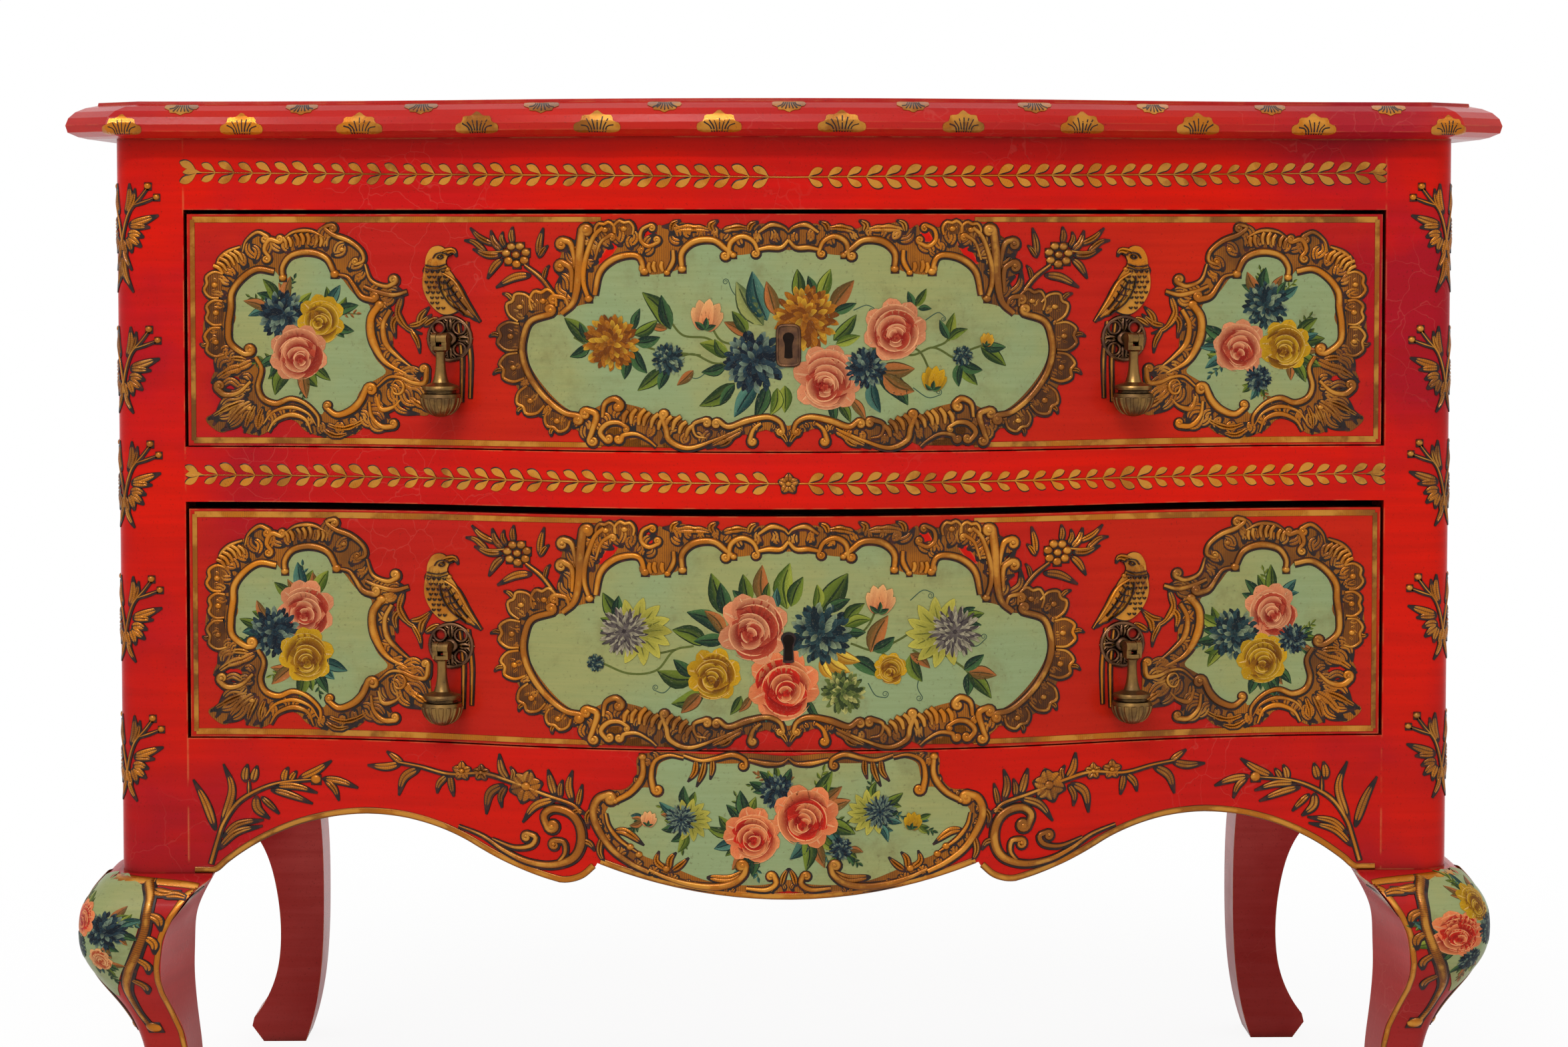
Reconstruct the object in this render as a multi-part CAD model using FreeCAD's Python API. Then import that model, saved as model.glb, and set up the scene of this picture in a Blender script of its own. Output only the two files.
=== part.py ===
"""A serpentine-fronted painted chest of two drawers on cabriole legs, in millimetres.

The chest stands on z = 0 with its front towards -Y, centred on x = 0 and on the depth of its top.
"""
import FreeCAD
import Part
import math
import os

V = FreeCAD.Vector
UP = V(0, 0, 1)

# Driving sizes of the case
CASE_WIDTH = 1100.0
CASE_DEPTH = 440.0
LEG_HEIGHT = 226.0
APRON_HEIGHT = 112.0
LOWER_OPENING = 195.0
MIDDLE_RAIL_HEIGHT = 45.0
UPPER_OPENING = 194.0
FRIEZE_HEIGHT = 58.0
SWELL_DEPTH = 90.0
POST_WIDTH = 57.0
POST_ROUNDING = 22.0
REAR_POST = 40.0
REAR_LEG_BRACKET = 126.0
REAR_LEG_THICKNESS = 58.0

# Top board
TOP_THICKNESS = 30.0
TOP_SIDE_OVERHANG = 40.0
TOP_FRONT_OVERHANG = 30.0
TOP_BACK_OVERHANG = 5.0
TOP_CORNER_CANT = 39.0
TOP_MOULDING_DEPTH = 26.0

# Boards of the case
SIDE_THICKNESS = 20.0
FRIEZE_THICKNESS = 32.0
RAIL_DEPTH = 60.0
APRON_THICKNESS = 24.0
BACK_THICKNESS = 12.0
BACK_RAIL_HEIGHT = 42.0
BACK_BOARDS = 3
GROOVE_DEPTH = 8.0
TENON_LENGTH = 22.0
TENON_THICKNESS = 12.0
TENON_SHOULDER = 8.0
RUNNER_WIDTH = 67.0
RUNNER_THICKNESS = 20.0
GUIDE_HEIGHT = 28.0
DUST_BOARD_THICKNESS = 8.0
STOP_WIDTH = 36.0
STOP_DEPTH = 14.0
STOP_HEIGHT = 6.0
STOP_OUTSIDE_BEND = 83.5
CLEAT_SIZE = 22.0
BLOCK_LEG = 30.0
BLOCK_HEIGHT = 44.0
DOWEL_RADIUS = 9.0
DOWEL_LENGTH = 70.0
SCREW_RADIUS = 2.5
SCREW_HEAD_RADIUS = 5.0
SCREW_HEAD_HEIGHT = 3.0
SCREW_BITE = 16.0

# Drawers
DRAWER_SIDE_GAP = 2.5
DRAWER_BOTTOM_GAP = 1.0
UPPER_TOP_GAP = 3.5
LOWER_TOP_GAP = 6.0
DRAWER_SET_BACK = 2.0
FRONT_THICKNESS = 26.0
DRAWER_BOARD = 12.0
DRAWER_SIDE_DROP = 12.0
DRAWER_REAR_ROOM = 12.0
DRAWER_FLOOR = 8.0
DRAWER_FLOOR_LIFT = 10.0
DRAWER_GROOVE = 6.0
SLIDE_CLEARANCE = 0.3
TAILS = 4
TAIL_LENGTH = 16.0
TAIL_ROOT_SHARE = 0.42
TAIL_TIP_SHARE = 0.62

# Locks
LOCK_WIDTH = 84.0
LOCK_HEIGHT = 120.0
LOCK_DEPTH = 12.0
LOCK_WALL = 2.0
LOCK_FLANGE = 12.0
BOLT_WIDTH = 26.0
BOLT_DEPTH = 6.0
BOLT_HEIGHT = 70.0
BOLT_TRAVEL = 10.0
BOLT_CLEARANCE = 0.4
KEYHOLE_RADIUS = 4.5
KEYHOLE_SLOT = 5.6
KEYHOLE_LENGTH = 16.0
KEYHOLE_DROP = 99.0
ESCUTCHEON_WIDTH = 15.0
ESCUTCHEON_HEIGHT = 30.0
ESCUTCHEON_INSET = 1.6
ESCUTCHEON_PROUD = 0.6
LOCK_SCREW_RADIUS = 1.6
LOCK_SCREW_HEAD = 3.2
LOCK_SCREW_LENGTH = 9.0
LOCK_SCREW_EDGE = 20.0

# Drop pulls
PULL_OUTSIDE_BEND = 27.5
UPPER_PULL_BELOW_TOP = 104.0
LOWER_PULL_BELOW_TOP = 115.0
PIVOT_STANDOFF = 20.0
ROSETTE_SEAT = 0.3
ROSETTE_RADIUS = 19.5
ROSETTE_THICKNESS = 2.6
ROSETTE_LOBES = 8
ROSETTE_LOBE_RADIUS = 5.2
ROSETTE_BOSS_RADIUS = 7.5
ROSETTE_BOSS_HEIGHT = 1.8
ROSETTE_HOLE_RADIUS = 3.4
ROSETTE_HOLE_SPREAD = 5.0
ROSETTE_HOLE_CIRCLE = 12.6
STUD_RADIUS = 3.0
STUD_COLLAR_RADIUS = 4.2
STUD_TAIL = 11.0
STUD_CLEARANCE = 0.3
EYE_RADIUS = 4.5
EYE_WIDTH = 4.6
EYE_REACH = 8.0
PIN_RADIUS = 1.5
PIN_CLEARANCE = 0.05
CHEEK_RADIUS = 5.0
CHEEK_WIDTH = 4.0
CHEEK_GAP = 0.3
NUT_RADIUS = 7.0
NUT_THICKNESS = 4.0
DROP_LENGTH = 63.0
DROP_CUP_RADIUS = 16.3

OVERRUN = 5.0

# Heights of the case, from the floor up
HALF_CASE = CASE_WIDTH / 2
HALF_OPENING = HALF_CASE - POST_WIDTH
LOWER_FLOOR = LEG_HEIGHT + APRON_HEIGHT
LOWER_CEILING = LOWER_FLOOR + LOWER_OPENING
UPPER_FLOOR = LOWER_CEILING + MIDDLE_RAIL_HEIGHT
UPPER_CEILING = UPPER_FLOOR + UPPER_OPENING
CASE_TOP = UPPER_CEILING + FRIEZE_HEIGHT

# Depths of the case, centred on the depth of the top board
TOTAL_DEPTH = TOP_FRONT_OVERHANG + SWELL_DEPTH + CASE_DEPTH + TOP_BACK_OVERHANG
POST_FRONT = TOP_FRONT_OVERHANG + SWELL_DEPTH - TOTAL_DEPTH / 2
CASE_BACK = POST_FRONT + CASE_DEPTH

# The serpentine front: a swelling arc between two hollow arcs, all of one radius
SWEEP_ANGLE = 2 * math.atan(SWELL_DEPTH / HALF_OPENING)
SWEEP_RADIUS = HALF_OPENING / (2 * math.sin(SWEEP_ANGLE))
APEX_FRONT = POST_FRONT - SWELL_DEPTH
BEND_X = HALF_OPENING / 2

# Drawer sizes that follow from the case
DRAWER_HALF = HALF_OPENING - DRAWER_SIDE_GAP
DRAWER_BACK_OFFSET = DRAWER_SET_BACK + FRONT_THICKNESS
DRAWER_END = CASE_BACK - REAR_POST - DRAWER_REAR_ROOM
STOP_OFFSET = DRAWER_BACK_OFFSET + SLIDE_CLEARANCE
LOCK_BACK = APEX_FRONT + DRAWER_BACK_OFFSET


def box(low, high):
    """A box between two opposite corners."""
    size = high - low
    return Part.makeBox(size.x, size.y, size.z, low)


def line(start, end):
    return Part.LineSegment(start, end).toShape()


def arc(start, middle, end):
    return Part.Arc(start, middle, end).toShape()


def prism(edges, direction):
    """The solid swept by a closed outline along a direction."""
    return Part.Face(Part.Wire(Part.__sortEdges__(edges))).extrude(direction)


def polygon_prism(points, direction):
    return prism([line(a, b) for a, b in zip(points, points[1:] + points[:1])], direction)


def cut_all(shape, cutters):
    for cutter in cutters:
        shape = shape.cut(cutter)
    return shape


def mirrored(shape):
    """The same piece on the other side of the chest."""
    return shape.mirror(V(0, 0, 0), V(1, 0, 0))


def save(name, *shapes):
    """Writes one node, a single solid or a group of separate ones."""
    whole = shapes[0] if len(shapes) == 1 else Part.makeCompound(list(shapes))
    whole.exportStep(os.path.join("parts", name + ".step"))


def middle_arc_point(angle, offset, z):
    """A point of the swelling arc, moved forwards by offset; angle 0 is the apex."""
    radius = SWEEP_RADIUS + offset
    return V(radius * math.sin(angle), APEX_FRONT + SWEEP_RADIUS - radius * math.cos(angle), z)


def end_arc_point(side, angle, offset, z):
    """A point of a hollow arc, moved forwards by offset; angle 0 is beside the post."""
    radius = SWEEP_RADIUS - offset
    x = HALF_OPENING - radius * math.sin(angle)
    return V(side * x, POST_FRONT - SWEEP_RADIUS + radius * math.cos(angle), z)


def front_edges(offset, z):
    """The serpentine line from the left post to the right one, at a height."""
    half = SWEEP_ANGLE / 2
    hollow = {}
    for side in (-1, 1):
        hollow[side] = [end_arc_point(side, k * half, offset, z) for k in (0, 1, 2)]
    swell = [middle_arc_point(k * SWEEP_ANGLE, offset, z) for k in (-1, 0, 1)]
    return [arc(*hollow[-1]), arc(*swell), arc(*reversed(hollow[1]))]


def front_at(x, offset):
    """The point of a hollow arc at a distance across, and its forward normal."""
    side = 1 if x > 0 else -1
    angle = math.asin((HALF_OPENING - abs(x)) / SWEEP_RADIUS)
    normal = V(side * math.sin(angle), -math.cos(angle), 0)
    y = POST_FRONT - SWEEP_RADIUS * (1 - math.cos(angle))
    return V(x, y, 0) + normal * offset, normal


def hollow_arc_y(x, offset):
    """How far back a hollow arc lies at a distance across, when it is moved forwards by offset."""
    radius = SWEEP_RADIUS - offset
    return POST_FRONT - SWEEP_RADIUS + math.sqrt(radius ** 2 - (HALF_OPENING - abs(x)) ** 2)


def serpentine_slab(front_offset, back_offset, low, high):
    """A board that follows the front, between two offsets from it and two heights."""
    front = front_edges(front_offset, low)
    back = front_edges(back_offset, low)
    ends = [line(V(side * HALF_OPENING, POST_FRONT - front_offset, low),
                 V(side * HALF_OPENING, POST_FRONT - back_offset, low)) for side in (-1, 1)]
    return prism(front + [ends[1]] + back[::-1] + [ends[0]], UP * (high - low))


def flat_front_edge(offset, half, rear, low, high):
    """A level panel whose front edge follows the serpentine line, cut to a half width and a rear edge."""
    chord_y = POST_FRONT - offset
    chord = line(V(-HALF_OPENING, chord_y, low), V(HALF_OPENING, chord_y, low))
    bay = prism(front_edges(offset, low) + [chord], UP * (high - low))
    bay = bay.common(box(V(-half, APEX_FRONT, low), V(half, chord_y, high)))
    return bay.fuse(box(V(-half, chord_y, low), V(half, rear, high))).removeSplitter()


# Top board: the offsets inwards from the nose and the heights of its moulded edge, bottom to top
TOP_MOULDING_SHARES = [(0.60, 0.0), (0.35, 0.05), (0.06, 0.17), (0.0, 0.36), (0.08, 0.56), (0.27, 0.73),
                       (0.55, 0.85), (0.88, 0.92), (0.90, 1.0)]


def top_outline(inset, z):
    """The plan of the top board, drawn in from its nose by inset on the three moulded sides."""
    offset = TOP_FRONT_OVERHANG - inset
    side_x = HALF_CASE + TOP_SIDE_OVERHANG - inset
    front_y = POST_FRONT - offset
    back_y = CASE_BACK + TOP_BACK_OVERHANG
    edges = front_edges(offset, z)
    for side in (-1, 1):
        beside_post = V(side * HALF_OPENING, front_y, z)
        before_cant = V(side * (side_x - TOP_CORNER_CANT), front_y, z)
        after_cant = V(side * side_x, front_y + TOP_CORNER_CANT, z)
        corner = V(side * side_x, back_y, z)
        edges += [line(beside_post, before_cant), line(before_cant, after_cant), line(after_cant, corner)]
    edges.append(line(V(-side_x, back_y, z), V(side_x, back_y, z)))
    return Part.Wire(Part.__sortEdges__(edges))


def make_top_board():
    outlines = [top_outline(inset * TOP_MOULDING_DEPTH, CASE_TOP + height * TOP_THICKNESS)
                for inset, height in TOP_MOULDING_SHARES]
    return Part.makeLoft(outlines, True, True)


def tenon(centre_z, height, front_y):
    """A rail's tenon in the right front post, from the rail's end to its blind mortise."""
    half = height / 2 - TENON_SHOULDER
    low = V(HALF_OPENING, front_y, centre_z - half)
    high = V(HALF_OPENING + TENON_LENGTH, front_y + TENON_THICKNESS, centre_z + half)
    return box(low, high)


def tenons():
    """Name of a rail to its right-hand tenon."""
    middle_y = POST_FRONT + (RAIL_DEPTH - TENON_THICKNESS) / 2
    frieze_y = POST_FRONT + (FRIEZE_THICKNESS - TENON_THICKNESS) / 2
    return {
        "frieze": tenon(UPPER_CEILING + FRIEZE_HEIGHT / 2, FRIEZE_HEIGHT, frieze_y),
        "middle": tenon(LOWER_CEILING + MIDDLE_RAIL_HEIGHT / 2, MIDDLE_RAIL_HEIGHT, middle_y),
    }


def side_groove_box():
    """The tongue of the right side panel, which runs in grooves of both its posts."""
    x = HALF_CASE - SIDE_THICKNESS
    low = V(x + SIDE_THICKNESS / 4, POST_FRONT + POST_WIDTH - GROOVE_DEPTH, LEG_HEIGHT)
    high = V(HALF_CASE - SIDE_THICKNESS / 4, CASE_BACK - REAR_POST + GROOVE_DEPTH, CASE_TOP)
    return box(low, high)


def dowel(x, y):
    return Part.makeCylinder(DOWEL_RADIUS, DOWEL_LENGTH, V(x, y, LEG_HEIGHT - DOWEL_LENGTH / 2))


FRONT_DOWEL = (HALF_CASE - POST_WIDTH / 2, POST_FRONT + POST_WIDTH / 2)
REAR_DOWEL_SHARE = 0.72


def make_front_post():
    """The right front post, rounded on its outer corner."""
    post = box(V(HALF_OPENING, POST_FRONT, LEG_HEIGHT), V(HALF_CASE, POST_FRONT + POST_WIDTH, CASE_TOP))
    corner = [e for e in post.Edges if e.BoundBox.XMin > HALF_CASE - GROOVE_DEPTH
              and e.BoundBox.YMax < POST_FRONT + GROOVE_DEPTH]
    post = post.makeFillet(POST_ROUNDING, corner)
    return cut_all(post, list(tenons().values()) + [side_groove_box(), dowel(*FRONT_DOWEL)])


def back_panel_box():
    """The space of the back boards, tongues included."""
    half = HALF_CASE - REAR_POST + GROOVE_DEPTH
    y = CASE_BACK - REAR_POST / 4
    return V(-half, y - BACK_THICKNESS, LEG_HEIGHT + APRON_HEIGHT / 2), V(half, y, CASE_TOP)


def rear_dowel():
    """The right rear dowel, which joins the leg's bracket to the lower back rail."""
    y = (back_panel_box()[0].y + CASE_BACK - REAR_POST) / 2
    return dowel(HALF_CASE - REAR_DOWEL_SHARE * REAR_LEG_BRACKET, y)


def make_rear_post():
    """The right rear post, grooved for the side panel and the back boards."""
    post = box(V(HALF_CASE - REAR_POST, CASE_BACK - REAR_POST, LEG_HEIGHT), V(HALF_CASE, CASE_BACK, CASE_TOP))
    return cut_all(post, [side_groove_box(), box(*back_panel_box())])


def make_back_boards():
    low, high = back_panel_box()
    step = (high.z - low.z) / BACK_BOARDS
    return [box(V(low.x, low.y, low.z + k * step), V(high.x, high.y, low.z + (k + 1) * step))
            for k in range(BACK_BOARDS)]


def make_back_rail(low_z, high_z):
    """A rail between the rear posts, flush with their fronts and against the back boards."""
    half = HALF_CASE - REAR_POST
    rail = box(V(-half, CASE_BACK - REAR_POST, low_z), V(half, back_panel_box()[0].y, high_z))
    return cut_all(rail, [rear_dowel(), mirrored(rear_dowel())])


# Lower edge of a side panel, from one post to the other: shares of its length and of the apron's height
SIDE_ARCH_SHARES = [(0.0, 0.0), (0.16, 0.36), (0.5, 0.46), (0.84, 0.36), (1.0, 0.0)]


def make_side_panel():
    """The right side panel, tongued into its posts, with an arched lower edge."""
    inner = HALF_CASE - SIDE_THICKNESS
    start = POST_FRONT + POST_WIDTH
    length = CASE_BACK - REAR_POST - start
    panel = box(V(inner, start, LEG_HEIGHT), V(HALF_CASE, start + length, CASE_TOP)).fuse(side_groove_box())
    points = [V(inner - OVERRUN, start + along * length, LEG_HEIGHT + up * APRON_HEIGHT)
              for along, up in SIDE_ARCH_SHARES]
    arch = Part.BSplineCurve()
    arch.interpolate(points)
    cutter = prism([arch.toShape(), line(points[-1], points[0])], V(SIDE_THICKNESS + OVERRUN + OVERRUN, 0, 0))
    return panel.cut(cutter).removeSplitter()


# Lower edge of the apron's right half, outside to middle: shares of the half opening and the apron's height
APRON_CORNER_SHARE = (0.957, 0.0)
APRON_ARC_SHARES = [((0.842, 0.32), (0.698, 0.46)), ((0.598, 0.41), (0.523, 0.286)),
                    ((0.45, 0.13), (0.375, 0.026)), ((0.339, 0.058), (0.312, 0.178))]
APRON_LOBE_SHARE = (0.0, -0.064)


def make_apron():
    """The front skirt: a serpentine board, sawn to arches, cusps and a middle lobe."""
    slab = serpentine_slab(0, -APRON_THICKNESS, LEG_HEIGHT - APRON_HEIGHT, LOWER_FLOOR)
    y = APEX_FRONT - OVERRUN

    def at(share, side):
        return V(side * share[0] * HALF_OPENING, y, LEG_HEIGHT + share[1] * APRON_HEIGHT)

    edges = []
    for side in (-1, 1):
        last = at(APRON_CORNER_SHARE, side)
        foot = V(side * HALF_OPENING, y, LEG_HEIGHT)
        head = V(side * HALF_OPENING, y, LOWER_FLOOR)
        edges += [line(head, foot), line(foot, last)]
        for middle, end in APRON_ARC_SHARES:
            edges.append(arc(last, at(middle, side), at(end, side)))
            last = at(end, side)
    cusp = APRON_ARC_SHARES[-1][1]
    edges.append(arc(at(cusp, -1), at(APRON_LOBE_SHARE, 1), at(cusp, 1)))
    edges.append(line(V(-HALF_OPENING, y, LOWER_FLOOR), V(HALF_OPENING, y, LOWER_FLOOR)))
    outline = prism(edges, V(0, SWELL_DEPTH + APRON_THICKNESS + OVERRUN + OVERRUN, 0))
    return slab.common(outline)


def bolt_mortise(ceiling):
    """The pocket in a rail's underside that takes the lock bolt below it."""
    y = LOCK_BACK - LOCK_DEPTH / 2
    half = V(BOLT_WIDTH / 2 + BOLT_CLEARANCE, BOLT_DEPTH / 2 + BOLT_CLEARANCE, 0)
    centre = V(0, y, ceiling)
    return box(centre - half - UP * OVERRUN, centre + half + UP * BOLT_TRAVEL)


def make_frieze_rail():
    rail = serpentine_slab(0, -FRIEZE_THICKNESS, UPPER_CEILING, CASE_TOP)
    end = tenons()["frieze"]
    return rail.fuse([end, mirrored(end)]).removeSplitter().cut(bolt_mortise(UPPER_CEILING))


def make_middle_rail():
    rail = serpentine_slab(0, -RAIL_DEPTH, LOWER_CEILING, UPPER_FLOOR)
    end = tenons()["middle"]
    return rail.fuse([end, mirrored(end)]).removeSplitter().cut(bolt_mortise(LOWER_CEILING))


def make_bottom_rail():
    """The rail behind the apron's upper edge, which carries the front ends of the lower runners."""
    return serpentine_slab(-APRON_THICKNESS, -RAIL_DEPTH, LOWER_FLOOR - RUNNER_THICKNESS, LOWER_FLOOR)


RUNNER_FRONT = POST_FRONT + RAIL_DEPTH
RUNNER_BACK = CASE_BACK - REAR_POST
RUNNER_OUTSIDE = HALF_CASE - SIDE_THICKNESS
RUNNER_INSIDE = RUNNER_OUTSIDE - RUNNER_WIDTH


def make_dust_board(floor):
    """A thin panel behind a serpentine rail, tongued into the runners."""
    low = floor - (RUNNER_THICKNESS + DUST_BOARD_THICKNESS) / 2
    half = RUNNER_INSIDE + GROOVE_DEPTH
    return flat_front_edge(-RAIL_DEPTH, half, RUNNER_BACK, low, low + DUST_BOARD_THICKNESS)


def make_runner(floor):
    """The right runner of a drawer, grooved for the dust board."""
    low = V(RUNNER_INSIDE, RUNNER_FRONT, floor - RUNNER_THICKNESS)
    return box(low, V(RUNNER_OUTSIDE, RUNNER_BACK, floor)).cut(make_dust_board(floor))


def make_guide(floor):
    """The right guide, which keeps a drawer straight behind the post."""
    low = V(HALF_OPENING, RUNNER_FRONT, floor)
    return box(low, V(RUNNER_OUTSIDE, RUNNER_BACK, floor + GUIDE_HEIGHT))


def make_kicker():
    """The right kicker, which keeps the open upper drawer from tipping."""
    low = V(RUNNER_INSIDE, POST_FRONT + POST_WIDTH, UPPER_CEILING)
    return box(low, V(RUNNER_OUTSIDE, RUNNER_BACK, UPPER_CEILING + RUNNER_THICKNESS))


# Places of the top's screws along a cleat, as shares of its length
TOP_SCREW_SHARES = (0.18, 0.82)


def cleat_box():
    """The right cleat, fixed to the side panel under the top."""
    low = V(RUNNER_OUTSIDE - CLEAT_SIZE, POST_FRONT + POST_WIDTH, CASE_TOP - CLEAT_SIZE)
    return low, V(RUNNER_OUTSIDE, RUNNER_BACK, CASE_TOP)


def top_screws():
    """The right-hand screws, up through the cleat into the top."""
    low, high = cleat_box()
    screws = []
    for share in TOP_SCREW_SHARES:
        foot = V((low.x + high.x) / 2, low.y + share * (high.y - low.y), low.z)
        head = Part.makeCone(SCREW_HEAD_RADIUS, SCREW_RADIUS, SCREW_HEAD_HEIGHT, foot)
        shank = Part.makeCylinder(SCREW_RADIUS, CLEAT_SIZE + SCREW_BITE, foot)
        screws.append(head.fuse(shank).removeSplitter())
    return screws


def make_stop(floor, x):
    """A block glued behind a drawer front, which stops the drawer flush with the rails."""
    y = hollow_arc_y(x + STOP_WIDTH / 2, -STOP_OFFSET)
    low = V(x - STOP_WIDTH / 2, y, floor)
    return box(low, low + V(STOP_WIDTH, STOP_DEPTH, STOP_HEIGHT))


def make_corner_block(corner, along_x, along_y, top_z):
    """A three-sided block glued into an inner corner, under a runner."""
    low = V(corner.x, corner.y, top_z - BLOCK_HEIGHT)
    return polygon_prism([low, low + V(along_x, 0, 0), low + V(0, along_y, 0)], UP * BLOCK_HEIGHT)


# A front leg from the post down. Each row: height as a share of the leg, how far the outer corner stands out
# of the post, where the front's inner edge and the back edge lie in from the post's outer faces, and the
# rounding of the outer corner, the last four as shares of the post's width.
LEG_SECTION_SHARES = [
    (1.0, 0.07, 1.33, 1.33, 0.40), (0.97, 0.28, 1.24, 1.26, 0.44), (0.92, 0.445, 1.02, 1.15, 0.50),
    (0.87, 0.54, 0.88, 1.05, 0.53), (0.82, 0.57, 0.77, 0.98, 0.55), (0.72, 0.54, 0.67, 0.945, 0.54),
    (0.62, 0.34, 0.64, 0.935, 0.48), (0.52, 0.06, 0.73, 0.95, 0.36), (0.43, -0.14, 0.86, 0.98, 0.26),
    (0.33, -0.265, 0.93, 1.02, 0.20), (0.22, -0.30, 0.95, 1.04, 0.19), (0.12, -0.19, 0.88, 1.02, 0.21),
    (0.05, -0.04, 0.80, 0.97, 0.24), (0.0, -0.09, 0.80, 0.94, 0.24)]


def leg_section(height, corner, inner, back, rounding):
    """One level of the right front leg: a kite with its blunt outer corner rounded."""
    z = height * LEG_HEIGHT
    c, i, b, r = (share * POST_WIDTH for share in (corner, inner, back, rounding))

    def at(out, forward):
        return V(HALF_CASE + out, POST_FRONT - forward, z)

    sag = r * (1 - 1 / math.sqrt(2))
    outer_start, outer_end = at(c - r, c), at(c, c - r)
    inner_front, back_corner, outer_back = at(-i, c), at(-b, -b), at(c, -i)
    rounded = arc(outer_start, at(c - sag, c - sag), outer_end)
    backs = [line(outer_end, outer_back), line(outer_back, back_corner), line(back_corner, inner_front)]
    return Part.Wire([line(inner_front, outer_start), rounded] + backs)


def make_front_leg():
    """The right cabriole leg, carved between its sections."""
    leg = Part.makeLoft([leg_section(*row) for row in LEG_SECTION_SHARES], True, False)
    return leg.cut(dowel(*FRONT_DOWEL))


# Outline of the right rear leg seen from the front: shares of the leg's height, and of the bracket's width
# in from the case's side
REAR_LEG_OUTER_SHARES = [(1.0, 0.0), (0.94, 0.34), (0.85, 0.51), (0.65, 0.645), (0.43, 0.68), (0.29, 0.65),
                         (0.18, 0.575), (0.10, 0.48)]
REAR_LEG_TOE_SHARES = [(0.065, 0.465), (0.0, 0.55)]
REAR_LEG_INNER_SHARES = [(0.0, 0.86), (0.12, 0.925), (0.35, 0.985), (0.60, 1.0), (0.85, 0.99), (1.0, 0.965)]


def make_rear_leg():
    """The right rear leg, sawn from one plank, with its toe turned out."""
    def at(share):
        x = HALF_CASE - share[1] * REAR_LEG_BRACKET
        return V(x, CASE_BACK - REAR_LEG_THICKNESS, share[0] * LEG_HEIGHT)

    outer = Part.BSplineCurve()
    outer.interpolate([at(share) for share in REAR_LEG_OUTER_SHARES])
    inner = Part.BSplineCurve()
    inner.interpolate([at(share) for share in REAR_LEG_INNER_SHARES])
    toe_shares = [REAR_LEG_OUTER_SHARES[-1]] + REAR_LEG_TOE_SHARES + [REAR_LEG_INNER_SHARES[0]]
    toe = [at(share) for share in toe_shares]
    edges = [outer.toShape(), inner.toShape()] + [line(a, b) for a, b in zip(toe, toe[1:])]
    edges.append(line(at(REAR_LEG_INNER_SHARES[-1]), at(REAR_LEG_OUTER_SHARES[0])))
    return prism(edges, V(0, REAR_LEG_THICKNESS, 0)).cut(rear_dowel())


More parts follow.
